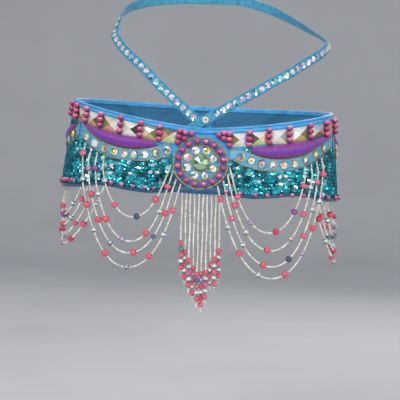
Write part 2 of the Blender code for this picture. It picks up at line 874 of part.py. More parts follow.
def swag_strand(start, end, lowest, first_bead, root_out, hang_out):
    """A strand's points and radii. It leaves its roots and then hangs clear of the belt."""
    fine = hanging_curve(start, end, lowest)
    total = fine[-1][2]
    beads = list(np.arange(first_bead, total - SWAG_LEAVES_WITHIN, SWAG_BEAD_PITCH))
    beads = [bead for bead in beads if bead > SWAG_BEAD_LENGTH]
    places = strand_places(total, SWAG_STEP, beads, SWAG_BEAD_LENGTH)
    places = sorted(set(places) | {SWAG_LEAVES_WITHIN * 0.5, total - SWAG_LEAVES_WITHIN * 0.5})
    lengths = [row[2] for row in fine]
    points = []
    for p in places:
        u, height = (float(np.interp(p, lengths, [row[k] for row in fine])) for k in (0, 1))
        t = min(p, total - p) / SWAG_LEAVES_WITHIN
        t = min(t, 1)
        out = root_out + (hang_out - root_out) * t * t * (3 - 2 * t)
        points.append(beside_hips(u, height, out))
    radii = [bead_radii(p, beads, SWAG_BEAD_LENGTH, SWAG_BEAD_RADIUS) for p in places]
    return points, radii


def face_strip(bm, centres):
    """A thin strip on the belt's face along (u, v) centres."""
    top = FACE + SWAG_STRIP_THICKNESS
    rings = []
    for k, (u, v) in enumerate(centres):
        low, high = centres[max(k - 1, 0)], centres[min(k + 1, len(centres) - 1)]
        run, rise = high[0] - low[0], high[1] - low[1]
        length = math.hypot(run, rise)
        across = (-rise / length * SWAG_STRIP_WIDTH / 2, run / length * SWAG_STRIP_WIDTH / 2)
        rings.append(
            [
                on_hips(u + way * across[0], v + way * across[1], out)
                for way, out in ((-1, FACE), (1, FACE), (1, top), (-1, top))
            ]
        )
    add_loft(bm, rings)


def strand_group(name, strands, collection):
    """The strands of a swag as helpers, ready to be joined to its strip."""
    group = helper_group(collection, name + "_strands")
    for number, (points, radii) in enumerate(strands):
        bm = bmesh.new()
        add_loft(bm, strand_rings(points, radii, SWAG_SIDES))
        hide_helper(finish_object(f"{name}_strand_{number}", bm, "glass_strand", group))
    return group


def front_swag(name, side, table, garland_table, collection):
    """Four strands between a strip round the medallion and a strip under the garland."""
    stand_off = SWAG_STRIP_GAP + SWAG_STRIP_WIDTH / 2

    def at_medallion(degrees):
        angle = math.radians(degrees)
        u = MEDALLION_ROUND + side * (MEDALLION_HALF_WIDTH + stand_off) * math.sin(angle)
        return u, MEDALLION_HEIGHT - (MEDALLION_HALF_HEIGHT + stand_off) * math.cos(angle)

    def at_garland(u):
        return side * u, smooth(garland_table, 1, u) - stand_off

    first_angle = table[0][0] + MEDALLION_STRIP_MARGIN
    last_angle = table[-1][0] - MEDALLION_STRIP_MARGIN
    inner = [at_medallion(angle) for angle in places_between(first_angle, last_angle, PANEL_STEP)]
    first_end = table[0][1] - GARLAND_STRIP_MARGIN
    last_end = table[-1][1] + GARLAND_STRIP_MARGIN
    outer = [at_garland(u) for u in places_between(first_end, last_end, GARLAND_STEP)]
    bm = bmesh.new()
    face_strip(bm, inner)
    piece = finish_object(name, bm, "glass_strand", collection)
    root_out = FACE + SWAG_STRIP_THICKNESS / 2
    strands = [
        swag_strand(at_garland(u), at_medallion(angle), lowest, first, root_out, FRONT_SWAG_OUT)
        for angle, u, lowest, first in table
    ]
    group = strand_group(name, strands, collection)
    bm = bmesh.new()
    face_strip(bm, outer)
    hide_helper(finish_object(name + "_outer_strip", bm, "glass_strand", group))
    join_group(piece, group)
    return piece


def side_swag(name, side, table, collection):
    """Four strands that hang round the hip from two strips under the belt's edge."""

    def at_edge(u):
        return side * u, lower_edge(u) - SEAM_GAP - STRIP_HEIGHT / 2

    fronts = [row[0] for row in table]
    backs = [row[1] for row in table]
    strips = [
        sorted((side * (min(ends) - SIDE_STRIP_MARGIN), side * (max(ends) + SIDE_STRIP_MARGIN)))
        for ends in (fronts, backs)
    ]
    piece = edge_strip(name, *strips[0], collection)
    strands = [
        swag_strand(at_edge(front), at_edge(back), lowest, first, STRIP_MIDDLE, SIDE_SWAG_OUT)
        for front, back, lowest, first in table
    ]
    group = strand_group(name, strands, collection)
    hide_helper(edge_strip(name + "_back_strip", *strips[1], group))
    join_group(piece, group)
    return piece


def closure_tape(collection):
    """The hook-and-eye tape behind the opening at the centre of the back."""
    inside = -SEAM_GAP
    rings = []
    for offset in np.linspace(-CLOSURE_HALF_WIDTH, CLOSURE_HALF_WIDTH, CLOSURE_SECTIONS):
        u = BACK_CENTRE - abs(offset)
        side = 1 if offset <= 0 else -1
        low = lower_edge(u) + CLOSURE_CLEAR_OF_EDGES
        high = upper_edge(u) - CLOSURE_CLEAR_OF_EDGES
        outline = (
            (low, inside - CLOSURE_THICKNESS),
            (high, inside - CLOSURE_THICKNESS),
            (high, inside),
            (low, inside),
        )
        rings.append([on_hips(side * u, v, out) for v, out in outline])
    bm = bmesh.new()
    add_loft(bm, rings)
    return finish_object("closure_tape", bm, "hook_tape", collection)


def build():
    for old in list(bpy.data.objects):
        bpy.data.objects.remove(old, do_unlink=True)
    bpy.context.scene.unit_settings.length_unit = "MILLIMETERS"
    belt = bpy.data.collections.new("belly_dance_hip_belt")
    bpy.context.scene.collection.children.link(belt)

    half_gap = SEAM_GAP / 2
    stretches = (
        # name, start, end
        ("front", -SIDE_SEAM + half_gap, SIDE_SEAM - half_gap),
        ("back_left", -BACK_CENTRE + half_gap, -SIDE_SEAM - half_gap),
        ("back_right", SIDE_SEAM + half_gap, BACK_CENTRE - half_gap),
    )
    for name, start, end in stretches:
        piece = panel("panel_" + name, start, end, belt)
        if name == "front":
            front_jewels(piece, belt)
        binding("top_binding_" + name, start, end, upper_edge, -1, belt)
        binding("hem_binding_" + name, start, end, lower_edge, 1, belt)
    closure_tape(belt)

    medallion(belt)
    for label, side, garland_rows, crescent_rows in (
        ("left", -1, GARLAND_LEFT, CRESCENT_LEFT),
        ("right", 1, GARLAND_RIGHT, CRESCENT_RIGHT),
    ):
        garland("garland_" + label, side, garland_rows, belt)
        crescent("crescent_" + label, side, crescent_rows, garland_rows, belt)
        peak = garland_rows[-1][0]
        side_rows = side_table(GARLAND_LEFT, peak)
        garland("garland_side_" + label, side, side_rows, belt)
        crescent("crescent_side_" + label, side, side_table(CRESCENT_LEFT, peak), side_rows, belt)

    strap("strap_left", STRAP_LEFT, belt)
    strap("strap_right", STRAP_RIGHT, belt)
    centre_fringe(belt)
    front_swag("swag_front_left", -1, FRONT_SWAG_LEFT, GARLAND_LEFT, belt)
    front_swag("swag_front_right", 1, FRONT_SWAG_RIGHT, GARLAND_RIGHT, belt)
    side_swag("swag_side_left", -1, SIDE_SWAG_LEFT, belt)
    side_swag("swag_side_right", 1, SIDE_SWAG_RIGHT, belt)


build()
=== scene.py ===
"""Looks of the belly dance hip belt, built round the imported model.

Sizes are in millimetres in the model's own frame: +Z is up, the belt's front faces -Y, and +X is on
the right of the front view. Points become metres as they are made.
"""

import math

import bmesh
import bpy
import numpy as np
from mathutils import Matrix, Vector


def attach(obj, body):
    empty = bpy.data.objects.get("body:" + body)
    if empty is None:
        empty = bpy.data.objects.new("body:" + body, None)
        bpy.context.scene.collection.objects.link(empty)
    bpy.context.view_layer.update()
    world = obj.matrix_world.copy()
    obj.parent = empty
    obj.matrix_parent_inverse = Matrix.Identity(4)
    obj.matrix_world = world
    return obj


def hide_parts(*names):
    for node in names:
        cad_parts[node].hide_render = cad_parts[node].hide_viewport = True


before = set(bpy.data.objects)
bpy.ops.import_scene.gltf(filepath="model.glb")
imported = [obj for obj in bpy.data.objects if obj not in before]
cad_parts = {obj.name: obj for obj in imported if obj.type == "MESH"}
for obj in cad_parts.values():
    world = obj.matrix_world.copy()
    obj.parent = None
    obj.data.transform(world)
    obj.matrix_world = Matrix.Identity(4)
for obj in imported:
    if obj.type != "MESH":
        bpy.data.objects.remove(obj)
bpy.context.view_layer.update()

MM = 0.001

# The belt's form, with the same driving sizes as its solids.
SEAM_GAP = 0.3
HIP_HALF_WIDTH = 163.5
HIP_FRONT_DEPTH = 103.0
HIP_BACK_DEPTH = 118.0
HIP_ROUNDNESS = 2.3
FLARE = 0.00061
TILT = math.radians(1.8)
SECTION_STEPS = 1440
PANEL_THICKNESS = 2.4
FACE = PANEL_THICKNESS + SEAM_GAP
SIDE_SEAM = 217.0

# The belt's upper and lower edges, by distance round the hips from the front centre.
UPPER_EDGE = (
    # round, height
    (0, 44.0),
    (25, 45.8),
    (60, 49.7),
    (85, 53.2),
    (112, 57.4),
    (140, 62.3),
    (165, 66.3),
    (190, 69.5),
    (222, 71.5),
    (300, 72.0),
    (446, 70.0),
)
LOWER_EDGE = (
    # round, height
    (0, -33.0),
    (25, -32.5),
    (45, -34.5),
    (62, -35.5),
    (85, -33.8),
    (110, -30.8),
    (130, -31.0),
    (150, -34.5),
    (175, -36.5),
    (222, -38.0),
    (446, -37.5),
)
# Lower and upper edge of each crystal garland, and the upper edge of the crescent on it.
GARLAND_LEFT = (
    # round, lower, upper
    (37, 10.5, 25.0),
    (45, 6.2, 22.6),
    (54, 3.6, 19.8),
    (66, 1.7, 16.6),
    (80, 1.2, 15.0),
    (96, 1.5, 15.6),
    (110, 3.3, 18.2),
    (122, 6.8, 21.8),
    (133, 11.3, 26.2),
    (144, 17.2, 32.2),
    (153, 22.8, 38.4),
    (159, 27.0, 43.0),
)
GARLAND_RIGHT = (
    # round, lower, upper
    (33, 11.2, 20.6),
    (40, 7.2, 21.2),
    (48, 3.4, 21.0),
    (57, 0.4, 18.8),
    (66, -1.4, 15.6),
    (78, -2.7, 13.2),
    (92, -2.6, 12.8),
    (106, -1.0, 14.2),
    (119, 2.2, 17.0),
    (132, 7.0, 21.2),
    (145, 13.2, 27.6),
    (158, 20.6, 34.2),
    (172, 26.5, 39.5),
    (184, 30.0, 43.5),
)
CRESCENT_LEFT = (
    # round, upper
    (53, 22.6),
    (58, 25.2),
    (66, 27.6),
    (76, 29.2),
    (88, 30.2),
    (100, 31.2),
    (110, 32.7),
    (120, 34.4),
    (135, 38.0),
    (146, 40.0),
    (154, 41.2),
)
CRESCENT_RIGHT = (
    # round, upper
    (58, 20.8),
    (62, 25.0),
    (70, 26.6),
    (80, 28.0),
    (92, 30.0),
    (105, 32.2),
    (118, 34.2),
    (132, 36.4),
    (146, 38.7),
    (158, 40.7),
    (168, 42.2),
    (176, 43.2),
)
PEAK_GAP = 6.0
# The band of beads and squares stands on this line, which the crescents follow.
BAND_FLOOR = (
    # round, height
    (30, 24.5),
    (53, 26.0),
    (75, 29.4),
    (100, 31.6),
    (125, 36.0),
    (150, 41.0),
    (175, 45.0),
    (222, 49.0),
)

# The form above the belt that the straps lie on, and the straps' routes.
STRAP_FORM = (
    # height, half width, front depth, back depth, shift to +X
    (30, 161.0, 96.9, 114.0, 2.0),
    (60, 159.0, 97.2, 112.0, 4.0),
    (100, 152.0, 99.0, 104.0, 9.0),
    (150, 139.0, 95.0, 93.0, 14.0),
    (170, 121.0, 91.0, 88.0, 14.0),
    (194, 108.0, 88.0, 85.0, 10.0),
    (220, 103.0, 86.0, 84.0, 7.0),
)
BACK_ANGLE = 179.9
STRAP_LEFT = (
    # angle from the front, height, depth below the other strap
    (2.3, 36.0, 2.6),
    (-2.5, 53.6, 2.6),
    (-9.5, 72.0, 0.0),
    (-17.4, 88.7, 0.0),
    (-25.5, 105.4, 0.0),
    (-33.2, 118.8, 0.0),
    (-46.0, 136.0, 0.0),
    (-61.0, 153.5, 0.0),
    (-74.0, 166.0, 0.0),
    (-88.0, 180.0, 0.0),
    (-105.0, 191.0, 0.0),
    (-135.0, 202.0, 0.0),
    (-162.0, 207.6, 0.0),
    (-BACK_ANGLE, 208.0, 0.0),
)
STRAP_RIGHT = (
    # angle from the front, height, depth below the other strap
    (-6.4, 36.5, 0.0),
    (-2.1, 47.8, 0.0),
    (2.7, 60.7, 0.0),
    (10.4, 76.3, 0.0),
    (24.0, 97.8, 0.0),
    (36.9, 113.9, 0.0),
    (48.8, 127.2, 0.0),
    (68.3, 142.0, 0.0),
    (88.0, 153.5, 0.0),
    (110.0, 172.0, 0.0),
    (138.0, 195.0, 0.0),
    (162.0, 207.0, 0.0),
    (BACK_ANGLE, 208.0, 0.0),
)

# Strands: the fringe under the medallion and the swags to both sides.
FRINGE = (
    # height where the large beads begin, height where the strand ends
    (-87.5, -125.0),
    (-99.0, -137.0),
    (-108.5, -143.0),
    (-118.0, -154.5),
    (-124.5, -166.0),
    (-124.5, -169.0),
    (-122.0, -157.5),
    (-112.5, -146.0),
    (-106.5, -142.0),
    (-97.0, -132.0),
)
FRONT_SWAG_LEFT = (
    # angle at the medallion from its lowest point, outer end, lowest height, first bead
    (82, 118, -65, 29),
    (66, 128, -94, 18),
    (51, 138, -108, 24),
    (38, 148, -125, 12),
)
FRONT_SWAG_RIGHT = (
    # angle at the medallion from its lowest point, outer end, lowest height, first bead
    (84, 127, -75, 21),
    (68, 137, -96, 27),
    (53, 146, -115, 25),
    (38, 155, -129, 20),
)
SIDE_SWAG_LEFT = (
    # front end, back end, lowest height, first bead
    (148, 235, -72, 24),
    (137, 245, -84, 18),
    (127, 256, -97, 25),
    (114, 268, -107, 24),
)
SIDE_SWAG_RIGHT = (
    # front end, back end, lowest height, first bead
    (165, 245, -68, 18),
    (156, 255, -84, 26),
    (148, 266, -100, 20),
    (141, 278, -113, 25),
)

MEDALLION_ROUND = -0.7
MEDALLION_HEIGHT = 2.9
MEDALLION_HALF_WIDTH = 32.8
MEDALLION_HALF_HEIGHT = 31.2

STRAP_WIDTH = 11.6
STRIP_HEIGHT = 2.4
STRIP_MIDDLE = 1.6
FRINGE_FIRST = -19.8
FRINGE_PITCH = 4.9
SWAG_BEAD_PITCH = 31.0
RIGHT_BEAD_PITCH = 33.5
SWAG_BEAD_LENGTH = 4.6
FRONT_SWAG_OUT = 8.2
SIDE_SWAG_OUT = 2.0
SWAG_LEAVES_WITHIN = 14.0
SWAG_ROOT_GAP = 2.1
CLOSURE_HALF_WIDTH = 15.0
CLOSURE_CLEAR_OF_EDGES = 8.0
# The hanging curve's own size is found by halving between these two.
FINEST_CURVE, FLATTEST_CURVE, CURVE_TRIALS = 0.5, 4000.0, 80


def oval(angle, half_width, depth_front, depth_back):
    """Points of a rounded oval seen from above, at angles from the front centre."""
    side, ahead = np.sin(angle), np.cos(angle)
    depth = np.where(ahead > 0, depth_front, depth_back)
    power = 2 / HIP_ROUNDNESS
    across = half_width * np.copysign(np.abs(side) ** power, side)
    return across, -depth * np.copysign(np.abs(ahead) ** power, ahead)


def hip_section():
    """Distance round the hip section from the front centre, its points and the way out at each."""
    angles = np.linspace(-math.pi, math.pi, SECTION_STEPS + 1)
    points = np.stack(oval(angles, HIP_HALF_WIDTH, HIP_FRONT_DEPTH, HIP_BACK_DEPTH), axis=1)
    steps = np.linalg.norm(np.diff(points, axis=0), axis=1)
    distance = np.concatenate([[0], np.cumsum(steps)])
    distance -= distance[-1] / 2
    along = np.gradient(points, axis=0)
    along /= np.linalg.norm(along, axis=1)[:, None]
    return distance, points, np.stack([along[:, 1], -along[:, 0]], axis=1)


ROUND, SECTION, OUTWARDS = hip_section()
BACK_CENTRE = ROUND[-1]


def unit(vectors):
    return vectors / np.linalg.norm(vectors, axis=-1, keepdims=True)


def on_hips(u, v, out):
    """Points at distance u round the hips, height v on the belt, and a distance out from its inside."""
    u, v, out = np.broadcast_arrays(*(np.asarray(k, float) for k in (u, v, out)))
    x, y = (np.interp(u, ROUND, SECTION[:, k]) for k in (0, 1))
    out_x, out_y = (np.interp(u, ROUND, OUTWARDS[:, k]) for k in (0, 1))
    spread = 1 - FLARE * v
    x, y = x * spread + out_x * out, y * spread + out_y * out
    cosine, sine = math.cos(TILT), math.sin(TILT)
    return np.stack([x * cosine + v * sine, y, v * cosine - x * sine], axis=-1) * MM


def way_out(u, v):
    """The direction straight out of the belt's face."""
    along = on_hips(np.add(u, 0.5), v, 0) - on_hips(np.subtract(u, 0.5), v, 0)
    up = on_hips(u, np.add(v, 0.5), 0) - on_hips(u, np.subtract(v, 0.5), 0)
    return unit(np.cross(along, up))


def smooth(table, column, place):
    """A table's column at places, on a smooth curve through its rows. Column 0 holds the places."""
    places = np.array([row[0] for row in table], float)
    values = np.array([row[column] for row in table], float)
    place = np.clip(place, places[0], places[-1])
    last = len(places) - 1
    row = np.clip(np.searchsorted(places, place, side="right") - 1, 0, last - 1)
    before, after = np.maximum(np.arange(last + 1) - 1, 0), np.minimum(np.arange(last + 1) + 1, last)
    slopes = (values[after] - values[before]) / (places[after] - places[before])
    span = places[row + 1] - places[row]
    t = (place - places[row]) / span
    return (
        (2 * t**3 - 3 * t**2 + 1) * values[row]
        + (t**3 - 2 * t**2 + t) * span * slopes[row]
        + (3 * t**2 - 2 * t**3) * values[row + 1]
        + (t**3 - t**2) * span * slopes[row + 1]
    )


def upper_edge(u):
    return smooth(UPPER_EDGE, 1, np.abs(u))


def lower_edge(u):
    return smooth(LOWER_EDGE, 1, np.abs(u))


def band_floor(u):
    return smooth(BAND_FLOOR, 1, np.abs(u))


def places_between(start, end, step):
    """Evenly spaced places from start to end, about a step apart."""
    return np.linspace(start, end, max(2, round(abs(end - start) / step) + 1))


def side_table(table, peak):
    """The left table's rows turned about a peak, so that they run on round the side."""
    outer = GARLAND_LEFT[-1][0]
    start = peak + PEAK_GAP
    return tuple((start + outer - row[0], *row[1:]) for row in reversed(table))


def on_medallion(share, angle, out):
    """Points at a share of the medallion's radius and an angle round it from its right side."""
    u = MEDALLION_ROUND + share * MEDALLION_HALF_WIDTH * np.cos(angle)
    v = MEDALLION_HEIGHT + share * MEDALLION_HALF_HEIGHT * np.sin(angle)
    return on_hips(u, v, out)


def on_strap_form(angle, height, out):
    """Points of the form above the belt, at angles from the front, heights, and a distance out."""
    half_width, front, back, shift = (smooth(STRAP_FORM, k, height) for k in (1, 2, 3, 4))
    x, y = oval(np.radians(angle), half_width + out, front + out, back + out)
    return np.stack([x + shift, y, np.broadcast_to(height, np.shape(x))], axis=-1) * MM


def hanging_curve(start, end, lowest):
    """Distance round and height of a strand, 1 mm apart, and its length so far."""
    rise = (start[1] - lowest, end[1] - lowest)
    span = abs(end[0] - start[0])
    slack, tight = FINEST_CURVE, FLATTEST_CURVE
    for _ in range(CURVE_TRIALS):
        shape = math.sqrt(slack * tight)
        reach = sum(shape * math.acosh(1 + r / shape) for r in rise)
        slack, tight = (shape, tight) if reach < span else (slack, shape)
    left = shape * math.acosh(1 + rise[0] / shape)
    way = math.copysign(1, end[0] - start[0])
    arcs = [shape * math.sinh(part / shape) for part in (-left, span - left)]
    places = np.append(np.arange(arcs[0], arcs[1]), arcs[1])
    flat = shape * np.arcsinh(places / shape)
    heights = lowest + shape * (np.cosh(flat / shape) - 1)
    return start[0] + way * (left + flat), heights, places - arcs[0]


def beside_hips(u, height, out):
    """Points on the belt's face or, below its lower edge, straight under that edge."""
    edge = lower_edge(u)
    points = on_hips(u, np.maximum(height, edge), out)
    points[..., 2] += np.minimum(height - edge, 0) * MM
    return points


def strand_path(start, end, lowest, root_out, hang_out):
    """A strand's points 1 mm apart, which leave its roots and then hang clear of the belt."""
    u, height, length = hanging_curve(start, end, lowest)
    t = np.minimum(np.minimum(length, length[-1] - length) / SWAG_LEAVES_WITHIN, 1)
    out = root_out + (hang_out - root_out) * t * t * (3 - 2 * t)
    return beside_hips(u, height, out), length, way_out(u, np.maximum(height, lower_edge(u)))


def tone(code):
    """A colour from its six-figure hexadecimal code, as a shader wants it."""
    parts = [int(code[k : k + 2], 16) / 255 for k in (0, 2, 4)]
    return (*(p / 12.92 if p <= 0.04045 else ((p + 0.055) / 1.055) ** 2.4 for p in parts), 1.0)


def add(tree, kind, inputs=None, **settings):
    """Adds a node with its settings. An input is a value, or the output that feeds it."""
    node = tree.nodes.new(kind)
    for key, value in settings.items():
        setattr(node, key, value)
    for key, value in (inputs or {}).items():
        if isinstance(value, bpy.types.NodeSocket):
            tree.links.new(value, node.inputs[key])
        else:
            node.inputs[key].default_value = value
    return node


def new_finish(name, roughness, **values):
    """A material with one shader. Values are named after the shader's inputs, with _ for a space."""
    made = bpy.data.materials.new(name)
    made.use_nodes = True
    shader = made.node_tree.nodes["Principled BSDF"]
    shader.inputs["Roughness"].default_value = roughness
    for key, value in values.items():
        shader.inputs[key.replace("_", " ")].default_value = value
    return made, made.node_tree, shader


def ramp(tree, factor, stops, interpolation="LINEAR"):
    """The colours of (place, code) stops along a factor."""
    node = add(tree, "ShaderNodeValToRGB", {"Fac": factor})
    node.color_ramp.interpolation = interpolation
    elements = node.color_ramp.elements
    elements.remove(elements[1])
    elements[0].position = stops[0][0]
    elements[0].color = tone(stops[0][1])
    for place, code in stops[1:]:
        elements.new(place).color = tone(code)
    return node.outputs["Color"]


def read(tree, name, output="Fac"):
    return add(tree, "ShaderNodeAttribute", attribute_name=name).outputs[output]


def combine(tree, operation, first, second):
    return add(tree, "ShaderNodeMath", {0: first, 1: second}, operation=operation).outputs[0]


def bump(tree, shader, height, strength, distance=0.0003):
    node = add(tree, "ShaderNodeBump", {"Height": height, "Strength": strength, "Distance": distance})
    tree.links.new(node.outputs["Normal"], shader.inputs["Normal"])


def grain(tree, scale, detail=2.0, stretch=(1, 1, 1)):
    """Noise over a piece's own place, in metres, stretched along its axes."""
    place = add(tree, "ShaderNodeTexCoord").outputs["Object"]
    scaled = add(tree, "ShaderNodeMapping", {"Vector": place, "Scale": stretch}).outputs["Vector"]
    noise = add(tree, "ShaderNodeTexNoise", {"Vector": scaled, "Scale": scale, "Detail": detail})
    return noise.outputs["Fac"]


def stripes(tree, pitch, direction):
    """Ridges across the cloth's own map, which is in millimetres, at a pitch."""
    cloth = add(tree, "ShaderNodeUVMap", uv_map="cloth").outputs["UV"]
    settings = {"Vector": cloth, "Scale": math.pi / (10 * pitch)}
    return add(tree, "ShaderNodeTexWave", settings, bands_direction=direction).outputs["Fac"]


def shaded(tree, colour, factor, stops, share=1.0):
    """A colour multiplied by the tones of (place, code) stops along a factor."""
    inputs = {0: share, 6: colour, 7: ramp(tree, factor, stops)}
    return add(tree, "ShaderNodeMix", inputs, data_type="RGBA", blend_type="MULTIPLY").outputs[2]


# How much a bead's colour varies within it.
SPECKLE = 0.15


def tinted(name, stops, roughness, painted_light_by_height=None, **values):
    """A finish whose colour differs from one bead to the next, and may have painted shade and highlight by
    height on each.
    """
    made, tree, shader = new_finish(name, roughness, **values)
    spread = combine(tree, "MULTIPLY", grain(tree, 900.0), SPECKLE)
    shifted = combine(tree, "ADD", read(tree, "tint"), spread)
    colour = ramp(tree, combine(tree, "SUBTRACT", shifted, SPECKLE / 2), stops)
    # Painted shade and highlight, by how high each point lies on its own bead.
    if painted_light_by_height:
        colour = shaded(tree, colour, read(tree, "upper"), painted_light_by_height)
    tree.links.new(colour, shader.inputs["Base Color"])
    return made


def faceted(name, stops, roughness, **values):
    """A cut stone: each facet takes its own colour, a painted reflection or glint, and each stone starts
    elsewhere on the ramp.
    """
    made, tree, shader = new_finish(name, roughness, **values)
    turned = combine(tree, "ADD", read(tree, "facet"), read(tree, "tint"))
    place = add(tree, "ShaderNodeMath", {0: turned}, operation="FRACT").outputs[0]
    tree.links.new(ramp(tree, place, stops, "CONSTANT"), shader.inputs["Base Color"])
    bump(tree, shader, grain(tree, 700.0), 0.08)
    return made


def painted(name, roughness, silvered_with_painted_shade=False, **values):
    """A finish whose colour is stored with each bead or facet. The paler beads may be made silver and
    metallic, with painted shade near their holes and on their lower side.
    """
    made, tree, shader = new_finish(name, roughness, **values)
    stored = read(tree, "colour", "Color")
    colour = shaded(tree, stored, grain(tree, 420.0), ((0.3, "EFEFEF"), (0.7, "FFFFFF")))
    if silvered_with_painted_shade:
        richness = add(tree, "ShaderNodeSeparateColor", {0: stored}, mode="HSV").outputs[1]
        # Painted shade near each bead's two holes.
        colour = shaded(tree, colour, read(tree, "end"), ((0.74, "FFFFFF"), (0.96, "54464E")))
        # Painted shade on each bead's lower side, strongest on the paler beads.
        strength = ramp(tree, richness, ((0.25, "FFFFFF"), (0.6, "8C8C8C")))
        painted_light_by_height = ((0.1, "2A3640"), (0.24, "84929C"), (0.36, "FFFFFF"))
        colour = shaded(tree, colour, read(tree, "upper"), painted_light_by_height, strength)
        silver = ramp(tree, richness, ((0.3, "B0B0B0"), (0.6, "303030")))
        tree.links.new(silver, shader.inputs["Metallic"])
    tree.links.new(colour, shader.inputs["Base Color"])
    return made


def satin(name, deep, light, roughness=0.32, line=None):
    """Smooth woven cloth with a soft shine, streaked along its length, and darker along a line."""
    made, tree, shader = new_finish(name, roughness, Sheen_Weight=0.35, Sheen_Roughness=0.4)
    streaks = grain(tree, 60.0, 5.0, (1, 1, 6))
    colour = ramp(tree, streaks, ((0.32, deep), (0.68, light)))
    if line:
        across = add(tree, "ShaderNodeUVMap", uv_map="cloth").outputs["UV"]
        across = add(tree, "ShaderNodeSeparateXYZ", {0: across}).outputs["Y"]
        away = combine(tree, "ABSOLUTE", combine(tree, "SUBTRACT", across, line), 0.0)
        colour = shaded(tree, colour, away, ((0.3, "7AA0C8"), (0.8, "FFFFFF")))
    tree.links.new(colour, shader.inputs["Base Color"])
    weave = combine(tree, "MULTIPLY", stripes(tree, 0.35, "X"), stripes(tree, 0.28, "Y"))
    bump(tree, shader, combine(tree, "ADD", weave, grain(tree, 220.0, 3.0)), 0.35, 0.0002)
    return made


def new_object(name, mesh):
    made = bpy.data.objects.new(name, mesh)
    bpy.context.scene.collection.objects.link(made)
    return made


def settle(piece):
    """Applies a piece's modifiers, so that its own mesh is what shows."""
    graph = bpy.context.evaluated_depsgraph_get()
    mesh = bpy.data.meshes.new_from_object(piece.evaluated_get(graph))
    piece.modifiers.clear()
    piece.data = mesh
    mesh.name = piece.name
    return piece


def face_grid(rows, count, closed, capped):
    """Faces of rows of equally many points. Closed rows are rings, which may be capped."""
    faces = []
    for row in range(rows - 1):
        for k in range(count if closed else count - 1):
            after = (k + 1) % count
            start, above = row * count, (row + 1) * count
            faces.append((start + k, start + after, above + after, above + k))
    if capped:
        faces.append(tuple(reversed(range(count))))
        faces.append(tuple(range((rows - 1) * count, rows * count)))
    return faces


def cloth_piece(name, points, across, along, finish, closed=False, capped=False):
    """A mesh through rows of points, with the cloth's own map in millimetres."""
    rows, count = points.shape[:2]
    mesh = bpy.data.meshes.new(name)
    mesh.from_pydata(points.reshape(-1, 3).tolist(), [], face_grid(rows, count, closed, capped))
    cloth = np.stack(np.broadcast_arrays(along, across), axis=-1).reshape(-1, 2)
    corners = np.empty(len(mesh.loops), np.int32)
    mesh.loops.foreach_get("vertex_index", corners)
    mesh.uv_layers.new(name="cloth").data.foreach_set("uv", cloth[corners].ravel())
    mesh.shade_smooth()
    mesh.materials.append(finish)
    reshape(mesh, turn_outwards)
    return new_object(name, mesh)


def reshape(mesh, change):
    """Lets a function change a mesh, which it gets as a bmesh."""
    bm = bmesh.new()
    bm.from_mesh(mesh)
    change(bm)
    bm.to_mesh(mesh)
    bm.free()


def turn_outwards(bm):
    """Turns a closed mesh's faces outwards, and an open sheet's away from the belt's middle."""
    if all(edge.is_manifold for edge in bm.edges):
        bmesh.ops.recalc_face_normals(bm, faces=bm.faces[:])
    elif sum(f.calc_area() * f.normal.xy.dot(f.calc_center_median().xy) for f in bm.faces) < 0:
        bmesh.ops.reverse_faces(bm, faces=bm.faces[:])


def thicken(piece, thickness, offset, backing=None):
    """Gives an open sheet its thickness in millimetres. Offset -1 keeps the side that faces out."""
    wall = piece.modifiers.new("wall", "SOLIDIFY")
    wall.thickness = thickness * MM
    wall.offset = offset
    if backing:
        piece.data.materials.append(backing)
        wall.material_offset = 1
    return settle(piece)


def drawn(tree, low, high, kind="FLOAT"):
    """A number, or three of them, drawn for each bead between two ends."""
    ends = {0: low, 1: high} if kind == "FLOAT_VECTOR" else {2: low, 3: high}
    ends["Seed"] = tree.nodes["Group Input"].outputs["Seed"]
    node = add(tree, "FunctionNodeRandomValue", ends, data_type=kind)
    return node.outputs[0 if kind == "FLOAT_VECTOR" else 1]


def turned_along(tree, along):
    """How each bead is turned: X along the path, Z out of the face, then tilted and a little uneven."""
    group = tree.nodes["Group Input"].outputs
    out = add(tree, "GeometryNodeInputNamedAttribute", {"Name": "out"}, data_type="FLOAT_VECTOR")
    axes = {"Primary Axis": along, "Secondary Axis": out.outputs["Attribute"]}
    facing = add(tree, "FunctionNodeAxesToRotation", axes, primary_axis="X", secondary_axis="Z")
    back = combine(tree, "MULTIPLY", group["Lean"], -1.0)
    lean = drawn(tree, back, group["Lean"], "FLOAT_VECTOR")
    tilt = add(tree, "ShaderNodeCombineXYZ", {"Y": group["Tilt"]}).outputs[0]
    both = add(tree, "ShaderNodeVectorMath", {0: lean, 1: tilt}, operation="ADD").outputs[0]
    turn = add(tree, "FunctionNodeEulerToRotation", {"Euler": both}).outputs[0]
    turns = {"Rotation": facing.outputs[0], "Rotate By": turn}
    return add(tree, "FunctionNodeRotateRotation", turns, rotation_space="LOCAL").outputs[0]


